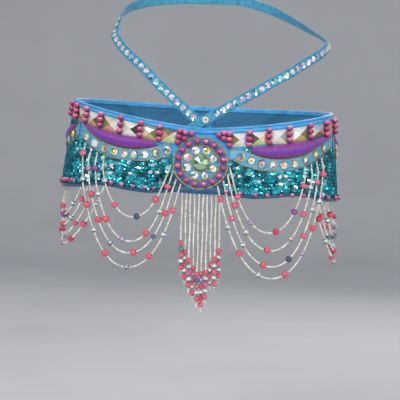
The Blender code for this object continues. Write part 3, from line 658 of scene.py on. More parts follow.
def place_shapes(tree, points, along):
    """Puts the shape on points, each a little uneven in size, and gives each its own tint."""
    group = tree.nodes["Group Input"].outputs
    size = add(tree, "GeometryNodeInputNamedAttribute", {"Name": "size"}, data_type="FLOAT")
    smallest = combine(tree, "SUBTRACT", 1.0, group["Uneven"])
    largest = combine(tree, "ADD", 1.0, group["Uneven"])
    scale = combine(tree, "MULTIPLY", drawn(tree, smallest, largest), size.outputs["Attribute"])
    shape = add(tree, "GeometryNodeObjectInfo", {"Object": group["Shape"]}).outputs["Geometry"]
    placing = {"Points": points, "Instance": shape, "Rotation": turned_along(tree, along), "Scale": scale}
    placed = add(tree, "GeometryNodeInstanceOnPoints", placing).outputs[0]
    tint = {"Geometry": placed, "Name": "tint", "Value": drawn(tree, 0.0, group["Brightest"])}
    stored = add(tree, "GeometryNodeStoreNamedAttribute", tint, data_type="FLOAT", domain="INSTANCE")
    real = add(tree, "GeometryNodeRealizeInstances", {"Geometry": stored.outputs[0]})
    finish = {"Geometry": real.outputs[0], "Material": group["Finish"]}
    dressed = add(tree, "GeometryNodeSetMaterial", finish)
    add(tree, "NodeGroupOutput", {0: dressed.outputs[0]})


def sewing_tree(name, sockets):
    """An empty tree with the inputs that both kinds of beadwork need, and some of its own."""
    tree = bpy.data.node_groups.new(name, "GeometryNodeTree")
    kinds = (
        ("Guide", "NodeSocketGeometry"),
        ("Shape", "NodeSocketObject"),
        ("Finish", "NodeSocketMaterial"),
        ("Tilt", "NodeSocketFloat"),
        ("Lean", "NodeSocketFloat"),
        ("Uneven", "NodeSocketFloat"),
        ("Seed", "NodeSocketInt"),
        ("Brightest", "NodeSocketFloat"),
    )
    for label, kind in kinds + sockets:
        tree.interface.new_socket(label, in_out="INPUT", socket_type=kind)
    tree.interface.new_socket("Beadwork", in_out="OUTPUT", socket_type="NodeSocketGeometry")
    tree.nodes.new("NodeGroupInput").name = "Group Input"
    return tree


def make_string_tree():
    """Strings a shape along every path of the guide at an even pitch."""
    tree = sewing_tree("string along a path", (("Pitch", "NodeSocketFloat"),))
    group = tree.nodes["Group Input"].outputs
    path = add(tree, "GeometryNodeMeshToCurve", {"Mesh": group["Guide"]}).outputs[0]
    pitch = {"Curve": path, "Length": group["Pitch"]}
    strung = add(tree, "GeometryNodeCurveToPoints", pitch, mode="LENGTH")
    place_shapes(tree, strung.outputs["Points"], strung.outputs["Tangent"])
    return tree


def make_sew_tree():
    """Sews a shape on at every point of the guide."""
    tree = sewing_tree("sew on at points", ())
    along = add(tree, "GeometryNodeInputNamedAttribute", {"Name": "along"}, data_type="FLOAT_VECTOR")
    place_shapes(tree, tree.nodes["Group Input"].outputs["Guide"], along.outputs["Attribute"])
    return tree


STRING_TREE = make_string_tree()
SEW_TREE = make_sew_tree()


def set_attribute(mesh, name, kind, values):
    """Stores a value, a direction or a colour with each point of a mesh."""
    width = {"FLOAT": "value", "FLOAT_VECTOR": "vector", "FLOAT_COLOR": "color"}[kind]
    made = mesh.attributes.new(name, kind, "POINT")
    made.data.foreach_set(width, np.asarray(values, np.float32).ravel())


def run_tree(name, guide, tree, settings):
    """Runs a tree on a guide mesh and keeps the result as a plain mesh."""
    maker = new_object(name, guide)
    modifier = maker.modifiers.new("beadwork", "NODES")
    modifier.node_group = tree
    for item in tree.interface.items_tree:
        if item.in_out == "INPUT" and item.name in settings:
            modifier[item.identifier] = settings[item.name]
    settle(maker)
    mark_upper(maker.data, len(settings["Shape"].data.vertices))
    return maker


def mark_upper(mesh, count):
    """Stores how high each point lies on its own bead of count points, from 0 to 1, for the finishes that
    paint shade and highlight by height.
    """
    places = np.empty(3 * len(mesh.vertices), np.float32)
    mesh.vertices.foreach_get("co", places)
    rise = places[2::3].reshape(-1, count)
    rise = rise - rise.min(axis=1, keepdims=True)
    set_attribute(mesh, "upper", "FLOAT", rise / np.maximum(rise.max(axis=1, keepdims=True), 1e-9))


def string_on(name, paths, shape, finish, pitch, tilt=0.0, lean=0.0, uneven=0.0, seed=1, brightest=1.0):
    """Strings a shape along paths of (points, ways out). The pitch is in millimetres.

    Tilt turns every bead alike about its Y. Lean and uneven are how far beads differ in turn and size.
    Brightest caps each bead's tint, which on the sequins is painted shade where the belt turns from the
    light.
    """
    points = np.concatenate([path for path, _ in paths])
    ways = np.concatenate([np.broadcast_to(way, path.shape) for path, way in paths])
    edges, start = [], 0
    for path, _ in paths:
        edges += [(k, k + 1) for k in range(start, start + len(path) - 1)]
        start += len(path)
    guide = bpy.data.meshes.new(name)
    guide.from_pydata(points.tolist(), edges, [])
    set_attribute(guide, "out", "FLOAT_VECTOR", ways)
    set_attribute(guide, "size", "FLOAT", np.ones(len(points)))
    settings = {"Shape": shape, "Finish": finish, "Pitch": pitch * MM, "Tilt": tilt, "Lean": lean}
    settings |= {"Uneven": uneven, "Seed": seed, "Brightest": brightest}
    return run_tree(name, guide, STRING_TREE, settings)


def sew_on(
    name, points, ways, shape, finish, alongs=None, sizes=None, colours=None, lean=0.0, uneven=0.0, seed=1
):
    """Sews a shape on at points. Without a way along, its X lies level on the face."""
    guide = bpy.data.meshes.new(name)
    guide.from_pydata(points.tolist(), [], [])
    if alongs is None:
        alongs = unit(np.cross(np.broadcast_to((0.0, 0.0, 1.0), ways.shape), ways))
    set_attribute(guide, "out", "FLOAT_VECTOR", ways)
    set_attribute(guide, "along", "FLOAT_VECTOR", alongs)
    set_attribute(guide, "size", "FLOAT", np.ones(len(points)) if sizes is None else sizes)
    if colours is not None:
        set_attribute(guide, "colour", "FLOAT_COLOR", [tone(code) for code in colours])
    settings = {"Shape": shape, "Finish": finish, "Tilt": 0.0, "Lean": lean}
    settings |= {"Uneven": uneven, "Seed": seed, "Brightest": 1.0}
    return run_tree(name, guide, SEW_TREE, settings)


def mesh_from(name, bm):
    """The mesh of a finished bmesh, with its faces turned outwards."""
    bmesh.ops.recalc_face_normals(bm, faces=bm.faces[:])
    mesh = bpy.data.meshes.new(name)
    bm.to_mesh(mesh)
    bm.free()
    return mesh


# A cut stone shows painted reflections of the room in this many patches round it, in two tiers.
PATCHES = 5
UPPER_TIER_FROM = 0.6


def number_facets(mesh):
    """Gives each patch of facets its own number, which its finish turns into a colour, the patch's painted
    reflection.
    """
    numbers = mesh.attributes.new("facet", "FLOAT", "FACE")
    draws = np.random.default_rng(len(mesh.polygons)).random((PATCHES, 2))
    middle = max(vertex.co.z for vertex in mesh.vertices) * UPPER_TIER_FROM
    for number, face in zip(numbers.data, mesh.polygons):
        sector = int(math.atan2(face.center.y, face.center.x) / math.tau * PATCHES) % PATCHES
        number.value = draws[sector, int(face.center.z > middle)]


def shape_of(name, bm, smooth=True, facets=False):
    """Keeps a small shape that beads are copied from."""
    mesh = mesh_from(name, bm)
    if smooth:
        mesh.shade_smooth()
    if facets:
        number_facets(mesh)
    made = bpy.data.objects.new(name, mesh)
    made.use_fake_user = True
    return made


def ring_of(radius, height, sides, turned=0):
    """Corners of a level ring, turned by a share of a step."""
    angles = 2 * math.pi * (np.arange(sides) + turned) / sides
    return [(radius * math.cos(a), radius * math.sin(a), height) for a in angles]


def turned_shape(name, profile, sides, axis="Z", **kind):
    """A small turned shape from (radius, height) rows in millimetres, closed at both ends."""
    bm = bmesh.new()
    rings = []
    for radius, height in profile:
        corners = ring_of(radius, height, sides)
        if radius == 0:
            corners = corners[:1]
        if axis == "X":
            corners = [(z, x, y) for x, y, z in corners]
        rings.append([bm.verts.new(Vector(corner) * MM) for corner in corners])
    for first, second in zip(rings, rings[1:]):
        for k in range(sides):
            after = (k + 1) % sides
            corners = [first[k % len(first)], first[after % len(first)]]
            corners += [second[after % len(second)], second[k % len(second)]]
            bm.faces.new(list(dict.fromkeys(corners)))
    for ring in (rings[0], rings[-1]):
        if len(ring) > 2:
            bm.faces.new(ring)
    return shape_of(name, bm, **kind)


# Finishes.
BAND_SATIN = ((0.0, "0A4A58"), (0.49, "0A4A58"), (0.51, "2E93DC"), (1.0, "3AA4EA"))


def ground_cloth(name, stops, attribute, roughness=0.38):
    """Woven cloth whose colour changes where another cloth was sewn over it."""
    made, tree, shader = new_finish(name, roughness, Sheen_Weight=0.3)
    uneven = combine(tree, "MULTIPLY", grain(tree, 90.0, 4.0), 0.06)
    place = combine(tree, "ADD", read(tree, attribute), uneven)
    tree.links.new(ramp(tree, place, stops), shader.inputs["Base Color"])
    weave = combine(tree, "MULTIPLY", stripes(tree, 0.4, "X"), stripes(tree, 0.4, "Y"))
    bump(tree, shader, combine(tree, "ADD", weave, grain(tree, 260.0, 3.0)), 0.4, 0.0002)
    return made


def wrapped_thread(name):
    """Purple thread laid close over padding, with a painted bluish sheen where it turns up, redder below, and
    painted shade in the grooves between its turns.
    """
    made, tree, shader = new_finish(name, 0.36, Sheen_Weight=0.4, Anisotropic=0.4)
    rise = combine(tree, "ADD", read(tree, "rise"), combine(tree, "MULTIPLY", grain(tree, 160.0, 4.0), 0.35))
    # The bluer stops are a painted sheen where the roll turns up to the light.
    stops = ((0.15, "84186C"), (0.4, "982CA8"), (0.62, "823ED0"), (0.8, "A038B8"), (1.0, "AE48BC"))
    # Painted shade in the grooves between the turns of thread.
    ribbed = shaded(tree, ramp(tree, rise, stops), read(tree, "rib"), ((0.12, "34244A"), (0.6, "F0F0F0")))
    tree.links.new(ribbed, shader.inputs["Base Color"])
    bump(tree, shader, grain(tree, 500.0, 4.0, (6, 6, 1)), 0.3, 0.0002)
    return made


def ribbed_elastic(name):
    """Woven elastic with ribs across it."""
    made, tree, shader = new_finish(name, 0.5, Sheen_Weight=0.25)
    mottled = grain(tree, 240.0, 3.0)
    tree.links.new(ramp(tree, mottled, ((0.3, "2C8CB0"), (0.7, "54B4D4"))), shader.inputs["Base Color"])
    bump(tree, shader, stripes(tree, 0.9, "Y"), 0.7, 0.0003)
    return made


FINISHES = {
    "band": ground_cloth("band_cloth_and_blue_satin", BAND_SATIN, "satin"),
    "backing": satin("band_backing_cloth", "2A6E96", "357DA4", 0.6),
    "binding": satin("sky_blue_satin_binding", "2A98DC", "58C2FA", line=10.3),
    # The hem's deep blue is darkened in part as painted shade, for the shade it lies in along the belt's
    # lower edge.
    "hem": satin("deep_blue_satin_hem", "1C4474", "2C6888"),
    "garland": satin("garland_blue_satin", "4E9CBE", "78BEDA"),
    "medallion": ground_cloth(
        "medallion_satin", ((0.0, "58AEDD"), (0.64, "4AA0D0"), (0.66, "4A62A4"), (1.0, "5068A8")), "share"
    ),
    "thread": wrapped_thread("wrapped_purple_thread"),
    "elastic": ribbed_elastic("blue_elastic"),
    "tape": ground_cloth("closure_tape_cloth", ((0.0, "2C78B4"), (1.0, "2C78B4")), "share", 0.6),
    # Pearls: painted shade on the lower side and a white painted highlight band near the top.
    "pearl": tinted(
        "raspberry_pearl",
        ((0.0, "D85890"), (0.5, "F87CB0"), (1.0, "FFACD0")),
        0.24,
        painted_light_by_height=(
            (0.08, "4C2C66"),
            (0.4, "B06A9C"),
            (0.62, "D890B0"),
            (0.76, "FFFFFF"),
            (0.88, "FFFFFF"),
            (1.0, "E0A0B8"),
        ),
        Coat_Weight=1.0,
        Coat_Roughness=0.08,
    ),
    # Sequins: the tints run from painted shade to white painted glints, and each sequin gets painted shade
    # along its lower side, between the rows.
    "sequin": tinted(
        "teal_cup_sequin",
        (
            (0.0, "0A5060"),
            (0.25, "0E7E90"),
            (0.5, "14A0B4"),
            (0.75, "30C4D4"),
            (0.9, "6CE2E8"),
            (0.972, "F4FFFF"),
        ),
        0.18,
        painted_light_by_height=((0.05, "4C727A"), (0.28, "C4D4D8"), (0.45, "FFFFFF")),
        Metallic=0.75,
        Coat_Weight=0.5,
    ),
    "seed": tinted(
        "cream_glass_seed", ((0.0, "DCD2BC"), (0.5, "F2ECDE"), (1.0, "FFFDF8")), 0.18, Coat_Weight=0.6
    ),
    "gold": tinted("gold_cord", ((0.0, "8E8450"), (0.5, "B8AC70"), (1.0, "DCD49C")), 0.32, Metallic=0.5),
    "claw": tinted("claw_cup_metal", ((0.0, "8C7A48"), (1.0, "C8B880")), 0.25, Metallic=1.0),
    "stitch": tinted("sewing_thread", ((0.0, "1C6CB8"), (1.0, "3A94DC")), 0.55),
    "hook": tinted("hook_wire", ((0.0, "B8B8BC"), (1.0, "D8D8DC")), 0.25, Metallic=1.0),
    # The stones' and rainbow sequins' facet colours are painted reflections, and their white stops painted
    # glints.
    "crystal": faceted(
        "rainbow_crystal",
        (
            (0.0, "FFFFFF"),
            (0.2, "F2E070"),
            (0.34, "F4A48C"),
            (0.44, "A8E0C8"),
            (0.56, "98904C"),
            (0.66, "FFFFFF"),
            (0.8, "EE8EC8"),
            (0.88, "4C8CA8"),
        ),
        0.08,
        Metallic=0.3,
        Coat_Weight=1.0,
    ),
    # The pale mint stop is a painted highlight; the other stops are painted reflections.
    "rivoli": faceted(
        "mint_centre_stone",
        ((0.0, "ACE0BC"), (0.22, "8CA270"), (0.42, "667C54"), (0.6, "98BC94"), (0.8, "7E8858")),
        0.08,
        Metallic=0.5,
        Coat_Weight=1.0,
    ),
    "strap_sequin": faceted(
        "rainbow_cup_sequin",
        (
            (0.0, "FFFFFF"),
            (0.32, "B0D8F4"),
            (0.46, "CFC0EC"),
            (0.54, "78D0E2"),
            (0.65, "347498"),
            (0.72, "FFFFFF"),
            (0.92, "C4F0F4"),
        ),
        0.12,
        Metallic=0.6,
    ),
    "mirror": painted("mirror_square", 0.12, Metallic=0.12, Coat_Weight=1.0),
    "bead": painted("mixed_glass_bead", 0.15, silvered_with_painted_shade=True, Coat_Weight=0.8),
}


# Small shapes that are sewn on or strung many times.
def ring_shape(name, radius, wire, steps=14, sides=6, flat=1.0):
    """A ring of round wire that lies flat on its face, and may be pressed flatter."""
    bm = bmesh.new()
    rings = []
    for k in range(steps):
        angle = 2 * math.pi * k / steps
        ring = []
        for j in range(sides):
            lean = 2 * math.pi * j / sides
            reach = radius + wire * math.cos(lean)
            height = flat * wire * math.sin(lean)
            corner = Vector((reach * math.cos(angle), reach * math.sin(angle), height))
            ring.append(bm.verts.new(corner * MM))
        rings.append(ring)
    for first, second in zip(rings, rings[1:] + rings[:1]):
        for j in range(sides):
            after = (j + 1) % sides
            bm.faces.new((first[j], first[after], second[after], second[j]))
    return shape_of(name, bm)


def ball_profile(radius, half_length, rings):
    """Rows of a ball, or of a longer or flatter bead, from end to end."""
    angles = np.linspace(-math.pi / 2, math.pi / 2, rings + 1)
    rows = [(radius * math.cos(a), half_length * math.sin(a)) for a in angles]
    return [(0, rows[0][1]), *rows[1:-1], (0, rows[-1][1])]


PEARL = turned_shape("pearl", ball_profile(3.45, 3.45, 9), 14)
# The raised pearls are wider than they are long, and their X runs along their thread.
RAISED_RADIUS = 3.9
RAISED_PEARL = turned_shape("raised_pearl", ball_profile(RAISED_RADIUS, 3.4, 9), 14, "X")
SMALL_PEARL = turned_shape("small_pearl", ball_profile(2.7, 2.7, 8), 12)
SEED = turned_shape("seed_bead", ((0.75, -0.92), (1.18, -0.35), (1.18, 0.35), (0.75, 0.92)), 6, "X")


def strand_bead(name, radius, half_length):
    """A large glass bead that stores how near each point is to its two holes."""
    bead = turned_shape(name, ball_profile(radius, half_length, 8), 12, "X")
    reach = [abs(vertex.co.x) for vertex in bead.data.vertices]
    set_attribute(bead.data, "end", "FLOAT", np.array(reach) / max(reach))
    return bead


STRAND_BEAD = strand_bead("strand_bead", 3.7, 3.4)
RONDELLE = strand_bead("rondelle", 3.6, 3.3)
LONG_BEAD = strand_bead("long_bead", 3.0, 3.7)
CUP_SEQUIN = turned_shape("cup_sequin", ((0, 0.0), (3.0, 0.75), (1.5, 0.35), (0, 0.28)), 8, smooth=False)
STRAP_SEQUIN = turned_shape(
    "strap_sequin", ((0, 0.0), (3.7, 1.0), (2.0, 0.35), (0.55, 0.2), (0, 0.3)), 10, smooth=False, facets=True
)
STITCH = turned_shape("stitch", ((0.08, -1.2), (0.26, -0.7), (0.26, 0.7), (0.08, 1.2)), 5, "X")
CORD_LAY = turned_shape("cord_lay", ((0.1, -1.0), (0.46, -0.5), (0.46, 0.5), (0.1, 1.0)), 6, "X")
CLAW_CUP = turned_shape("claw_cup", ((0, 0.0), (4.7, 0.0), (5.0, 0.8), (4.5, 1.1), (0, 1.0)), 16)
HOOK = ring_shape("hook", 1.7, 0.35)
RING_SEQUIN = ring_shape("flat_ring", 2.5, 1.5, 18, 8, 0.35)


def cut_stone(name, rings, sides, top):
    """A faceted stone from (radius, height, share of a step turned) rows, with a flat top or a point."""
    bm = bmesh.new()
    rows = []
    for radius, height, turned in rings:
        corners = ring_of(radius, height, sides, turned)
        rows.append([bm.verts.new(Vector(corner) * MM) for corner in corners])
    for (first, low), (second, high) in zip(zip(rows, rings), zip(rows[1:], rings[1:])):
        for k in range(sides):
            after = (k + 1) % sides
            if low[2] == high[2]:
                bm.faces.new((first[k], first[after], second[after], second[k]))
            else:
                bm.faces.new((first[k], first[after], second[k]))
                bm.faces.new((first[after], second[after], second[k]))
    bm.faces.new(rows[0])
    if top is None:
        bm.faces.new(rows[-1])
    else:
        point = bm.verts.new((0, 0, top * MM))
        for k in range(sides):
            bm.faces.new((rows[-1][k], rows[-1][(k + 1) % sides], point))
    return shape_of(name, bm, smooth=False, facets=True)


CRYSTAL_CUT = (
    # radius, height, share of a step turned
    (4.2, 0.4, 0),
    (5.0, 1.1, 0),
    (3.9, 2.3, 0.5),
    (2.5, 2.9, 0),
    (1.2, 3.2, 0.5),
)
RIVOLI_CUT = (
    # radius, height, share of a step turned
    (9.0, 0.6, 0),
    (10.0, 1.8, 0),
    (7.4, 3.2, 0.5),
)
CRYSTAL = cut_stone("crystal", CRYSTAL_CUT, 8, None)
RIVOLI = cut_stone("rivoli", RIVOLI_CUT, 14, 5.4)


def dress(piece, slot, *nodes):
    """Rides a finished piece on the belt, and lets it stand for its solids."""
    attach(piece, "root")
    if nodes:
        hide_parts(*nodes)


# The band: three panels of stiffened cloth, with a few shallow troughs pressed in by wear.
TROUGHS = (
    # round, depth, half width, lean in millimetres from the lower to the upper edge
    (-232, 0.55, 9, 6),
    (-286, 0.45, 13, -8),
    (-338, 0.60, 10, 5),
    (-392, 0.40, 15, -6),
    (-431, 0.50, 8, 3),
    (-186, 0.35, 8, 4),
    (183, 0.40, 9, -4),
    (238, 0.55, 11, -6),
    (279, 0.45, 9, 7),
    (333, 0.55, 14, -5),
    (386, 0.45, 10, 6),
    (428, 0.60, 9, -4),
)


def trough_depth(u, share):
    """How far the cloth is pressed in at a place round and a share of the height."""
    depth = np.zeros(np.broadcast(u, share).shape)
    for middle, deepest, half_width, lean in TROUGHS:
        away = (u - middle - lean * (share - 0.5)) / half_width
        depth += deepest * np.exp(-(away**2)) * np.sin(math.pi * np.clip(share, 0, 1)) ** 0.5
    return depth


# A second cloth, of satin, lies over the upper part of the front.
PANEL_INSET = 1.6
SATIN_WITHIN = 205
SATIN_UNDER_FLOOR = 4
SATIN_PLACES = (
    # round, half width, height that the satin starts at there
    (0, 60, 8),
    (-162, 6, 27),
    (187, 6, 27),
)


def under_satin(us, vs):
    """One where the satin lies over the band's own cloth, and zero elsewhere."""
    ground = band_floor(us) - SATIN_UNDER_FLOOR
    for middle, half_width, height in SATIN_PLACES:
        ground = np.where(np.abs(us - middle) < half_width, height, ground)
    return np.where((np.abs(us) < SATIN_WITHIN) & (vs > ground), 1.0, 0.0)


def band_panel(node, start, end):
    """One panel of the band, with its backing."""
    us = places_between(start, end, 3.5)[:, None]
    shares = np.linspace(0, 1, 25)[None, :]
    low, high = lower_edge(us) + PANEL_INSET, upper_edge(us) - PANEL_INSET
    vs = low + (high - low) * shares
    outs = PANEL_THICKNESS - trough_depth(us, shares)
    piece = cloth_piece(node + "_cloth", on_hips(us, vs, outs), vs, us, FINISHES["band"])
    set_attribute(piece.data, "satin", "FLOAT", under_satin(us, vs))
    thicken(piece, PANEL_THICKNESS - 0.4, -1, FINISHES["backing"])
    dress(piece, "band_cloth", node)
    return piece


# Satin bias binding, folded over an edge, with soft puckers where the stitches pull.
BINDING_WALL = 0.9
BINDING_LIFT = 0.35
TOP_LEG, HEM_LEG, INNER_LEG = 6.6, 8.0, 5.0
INNER_SIDE, OUTER_SIDE = -0.95, 3.45
OUTER_SWELL = 0.25
TURN_DEPTH = 1.5
BINDING_TURN = (
    # out from the band's inside, share of the turn's depth from the edge
    (INNER_SIDE, 1.0),
    (-0.9, 0.45),
    (-0.35, 0.14),
    (1.2, 0.0),
    (2.75, 0.14),
    (3.35, 0.45),
    (OUTER_SIDE, 1.0),
)


def pucker(u, share):
    """Small slanting puckers, uneven in size, that fade towards the fold."""
    swell = np.sin(u * 0.83 + 2.2 * share) * 0.5 + np.sin(u * 0.37 - 1.4 * share + 0.7) * 0.35
    swell = swell + np.sin(u * 0.147 + 0.4) * 0.4
    return 0.16 * swell * share


def edge_binding(name, start, end, edge, inwards, leg, finish):
    """Satin folded over an edge: up its inner leg, round the turn and down its outer leg."""
    us = places_between(start, end, 1.6)[:, None]
    rows = [(INNER_SIDE, TURN_DEPTH + (INNER_LEG - TURN_DEPTH) * share) for share in (1.0, 0.7, 0.4)]
    rows += [(out, TURN_DEPTH * share) for out, share in BINDING_TURN]
    rows += [
        (OUTER_SIDE + OUTER_SWELL * math.sin(math.pi * share), TURN_DEPTH + (leg - TURN_DEPTH) * share)
        for share in (0.3, 0.55, 0.8, 1.0)
    ]
    outs, depths = np.array(rows).T[:, None, :]
    outer_share = np.clip((outs - 2.0) * depths / leg, 0, 1)
    outs = outs + pucker(us, outer_share) + BINDING_LIFT
    vs = edge(us) + inwards * depths
    run = np.cumsum(np.hypot(np.diff(outs[:1], prepend=outs[0, 0]), np.diff(depths, prepend=depths[0, 0])))
    piece = cloth_piece(name + "_satin", on_hips(us, vs, outs), run[None, :], us, finish)
    thicken(piece, BINDING_WALL, 0)
    dress(piece, "satin_binding", name)


STRETCHES = (
    # name, start, end
    ("front", -SIDE_SEAM + 0.15, SIDE_SEAM - 0.15),
    ("back_left", -BACK_CENTRE + 0.15, -SIDE_SEAM - 0.15),
    ("back_right", SIDE_SEAM + 0.15, BACK_CENTRE - 0.15),
)


def line_on_face(u, v, out):
    """A path on the belt's face with its way out, for beads, cords and stitches."""
    return on_hips(u, v, out), way_out(u, v)


BINDINGS = (
    # name, edge, way inwards, leg, finish
    ("top", upper_edge, -1, TOP_LEG, "binding"),
    ("hem", lower_edge, 1, HEM_LEG, "hem"),
)
STITCH_FROM_LEG, STITCH_OUT, STITCH_PITCH = 0.9, 4.75, 3.3


def make_band():
    """Each panel, its two bindings and a line of stitches along both."""
    for stretch, start, end in STRETCHES:
        panel = band_panel("panel_" + stretch, start, end)
        us = places_between(start + 2, end - 2, 2.0)
        lines = []
        for label, edge, inwards, leg, finish in BINDINGS:
            name = f"{label}_binding_{stretch}"
            edge_binding(name, start, end, edge, inwards, leg, FINISHES[finish])
            lines.append(line_on_face(us, edge(us) + inwards * (leg - STITCH_FROM_LEG), STITCH_OUT))
        name = "binding_stitches_" + stretch
        stitches = string_on(name, lines, STITCH, FINISHES["stitch"], STITCH_PITCH, lean=0.06, seed=4)
        dress(stitches, "satin_binding")


# Sequins in rows over all of the cloth that no other piece covers.
SEQUIN_PITCH = 4.1
SEQUIN_ROW = 4.3
SEQUIN_OUT = 3.1
HEM_LIFT = 1.7
SEQUIN_ROWS = 30
SHORTEST_RUN = 5
OVER_HEM_LEG, UNDER_TOP_LEG = 1.2, 1.0
JEWELLED_HALF = 200.0
# How far sequins keep from what is beside them.
CLEAR_OF_PIECES, CLEAR_OF_CRESCENTS, CLEAR_OF_SQUARES = 1.5, 2.0, 2.5
SEQUIN_FIELDS = (
    # name, start round, end round, how far they lean on the next, how unevenly, brightest tint (lower on the
    # hip and back, as painted shade where they turn from the light), seed
    ("front", 24, 166, -0.3, 0.42, 1.0, 5),
    ("hip", 166, SIDE_SEAM - 1.5, -0.3, 0.2, 0.6, 7),
    ("back", SIDE_SEAM + 1.5, BACK_CENTRE - 2, -0.12, 0.24, 0.8, 9),
)


def sides():
    """For each side of the belt: its name and sign, and its garlands and crescents."""
    for label, side, garland, crescent in (
        ("left", -1, GARLAND_LEFT, CRESCENT_LEFT),
        ("right", 1, GARLAND_RIGHT, CRESCENT_RIGHT),
    ):
        peak = garland[-1][0]
        yield label, side, garland, crescent, side_table(GARLAND_LEFT, peak), side_table(CRESCENT_LEFT, peak)


def bare_cloth(side_pieces, u, v):
    """Where the cloth under a row of sequins is bare."""
    _, _, garland, crescent, side_garland, side_crescent = side_pieces
    front, back = garland[0][0], side_garland[-1][0]
    peak = (garland[-1][0] + side_garland[0][0]) / 2
    low = np.where(u < peak, smooth(garland, 1, u), smooth(side_garland, 1, u))
    top = np.maximum(
        np.where(u < peak, smooth(garland, 2, u), smooth(side_garland, 2, u)),
        np.where(u < peak, smooth(crescent, 1, u), smooth(side_crescent, 1, u)),
    )
    near = (u > front - 4) & (u < back + 1)
    below = np.where(near, v < low - CLEAR_OF_PIECES, u > back)
    over_squares = (u <= JEWELLED_HALF) & (v >= band_floor(u) - CLEAR_OF_SQUARES)
    above = ~over_squares & (v > top + CLEAR_OF_CRESCENTS)
    across = (u - abs(MEDALLION_ROUND)) / (MEDALLION_HALF_WIDTH + CLEAR_OF_PIECES)
    rise = (v - MEDALLION_HEIGHT) / (MEDALLION_HALF_HEIGHT + CLEAR_OF_PIECES)
    return (below | above) & (across**2 + rise**2 > 1)


def runs_of(flags):
    """Start and end of each unbroken run of true flags."""
    change = np.flatnonzero(np.diff(np.concatenate([[0], flags.astype(int), [0]])))
    return zip(change[::2], change[1::2])


def sequin_rows(side_pieces, start, end):
    """Paths along the bare cloth between two places round, every other one set half a pitch on."""
    side = side_pieces[1]
    paths = []
    for row in range(SEQUIN_ROWS):
        out = SEQUIN_OUT + (HEM_LIFT if row == 0 else 0)
        u = np.arange(start + (row % 2) * SEQUIN_PITCH / 2, end, 1.0)
        v = lower_edge(u) + HEM_LEG - OVER_HEM_LEG + row * SEQUIN_ROW
        flags = bare_cloth(side_pieces, u, v) & (v < upper_edge(u) - TOP_LEG - UNDER_TOP_LEG)
        for first, last in runs_of(flags):
            if last - first >= SHORTEST_RUN:
                paths.append(line_on_face(side * u[first:last], v[first:last], out))
    return paths


def make_sequins():
    for side_pieces in sides():
        for field, start, end, tilt, lean, brightest, seed in SEQUIN_FIELDS:
            piece = string_on(
                f"sequins_{field}_{side_pieces[0]}",
                sequin_rows(side_pieces, start, end),
                CUP_SEQUIN,
                FINISHES["sequin"],
                SEQUIN_PITCH,
                tilt=tilt,
                lean=lean,
                uneven=0.12,
                seed=seed,
                brightest=brightest,
            )
            dress(piece, "band_cloth")


# Columns of three pearls, with a mirror square between each two.
COLUMNS = (
    # round, heights of the three pearls
    (-196.0, 65.0, 58.6, 52.4),
    (-174.5, 62.6, 56.0, 49.4),
    (-152.1, 59.3, 52.1, 45.4),
    (-128.1, 53.6, 47.3, 41.0),
    (-100.5, 50.8, 43.0, 35.4),
    (-75.0, 45.9, 38.9, 31.9),
    (-51.6, 42.8, 35.6, 28.4),
    (55.6, 41.8, 34.6, 27.4),
    (80.1, 46.1, 38.9, 31.6),
    (105.9, 50.2, 42.9, 35.7),
    (135.2, 54.2, 47.4, 40.6),
    (165.0, 58.4, 51.6, 44.8),
    (192.0, 62.0, 55.2, 48.4),
)
CORNER_PEARLS = (
    # round, height
    (-27.3, 39.2),
    (-20.4, 37.2),
    (-12.9, 36.4),
    (-28.4, 32.6),
    (-21.4, 30.6),
    (-29.0, 26.2),
    (25.6, 39.6),
    (19.2, 36.8),
    (25.4, 33.2),
    (32.1, 39.2),
    (31.8, 32.4),
    (31.9, 25.8),
)
# Tones that the foiled squares' facets take as painted reflections.
PAINTED_REFLECTION_TONES = {
    "white": "FFFDF8",
    "cream": "EDE6CC",
    "olive": "8C8A5C",
    "dark": "4A4638",
    "pink": "E8A090",
    "green": "BCDC98",
    "lilac": "CDB0DC",
    "gold": "CDB474",
    "grey": "B4B6B0",
    "brown": "80584A",
    "blue": "A8CCE0",
}
SQUARES = (
    # start round, end round, painted reflections on the lower, right, upper and left facets
    (-193.4, -177.8, "cream", "olive", "white", "gold"),
    (-171.4, -155.4, "olive", "gold", "cream", "brown"),
    (-148.8, -131.4, "gold", "brown", "white", "cream"),
    (-124.8, -103.8, "pink", "white", "cream", "olive"),
    (-97.2, -78.3, "white", "dark", "white", "cream"),
    (-71.7, -55.0, "gold", "olive", "grey", "cream"),
    (-48.2, -32.6, "green", "cream", "olive", "pink"),
    (36.0, 52.2, "cream", "lilac", "white", "olive"),
    (59.0, 76.7, "green", "pink", "white", "brown"),
    (83.5, 102.5, "cream", "grey", "white", "white"),
    (109.3, 131.8, "gold", "olive", "white", "white"),
    (138.6, 161.6, "brown", "pink", "blue", "cream"),
    (168.4, 188.6, "pink", "brown", "pink", "gold"),
)
SQUARE_REACH = 1.5
SQUARE_OVER_FACE = 0.7
SQUARE_PEAK = 3.6
SQUARE_SINK = 0.5
SQUARE_BEVEL = 1.5
# How far the bevel's inner edge is from the centre, as a share, and how much painted shade one half of each
# side and the foot get.
SQUARE_TABLE = 0.62
PAINTED_SHADE_HALF = 0.85
PAINTED_FOOT_SHADE = 0.4


def make_pearls():
    places = [(u, v) for u, *heights in COLUMNS for v in heights] + list(CORNER_PEARLS)
    u, v = np.array(places).T
    out = PANEL_THICKNESS + RAISED_RADIUS + 0.3
    upwards = unit(on_hips(u, v + 0.5, out) - on_hips(u, v - 0.5, out))
    piece = sew_on(
        "raised_pearls",
        on_hips(u, v, out),
        way_out(u, v),
        RAISED_PEARL,
        FINISHES["pearl"],
        alongs=upwards,
        uneven=0.04,
    )
    dress(piece, "medallion_cloth")


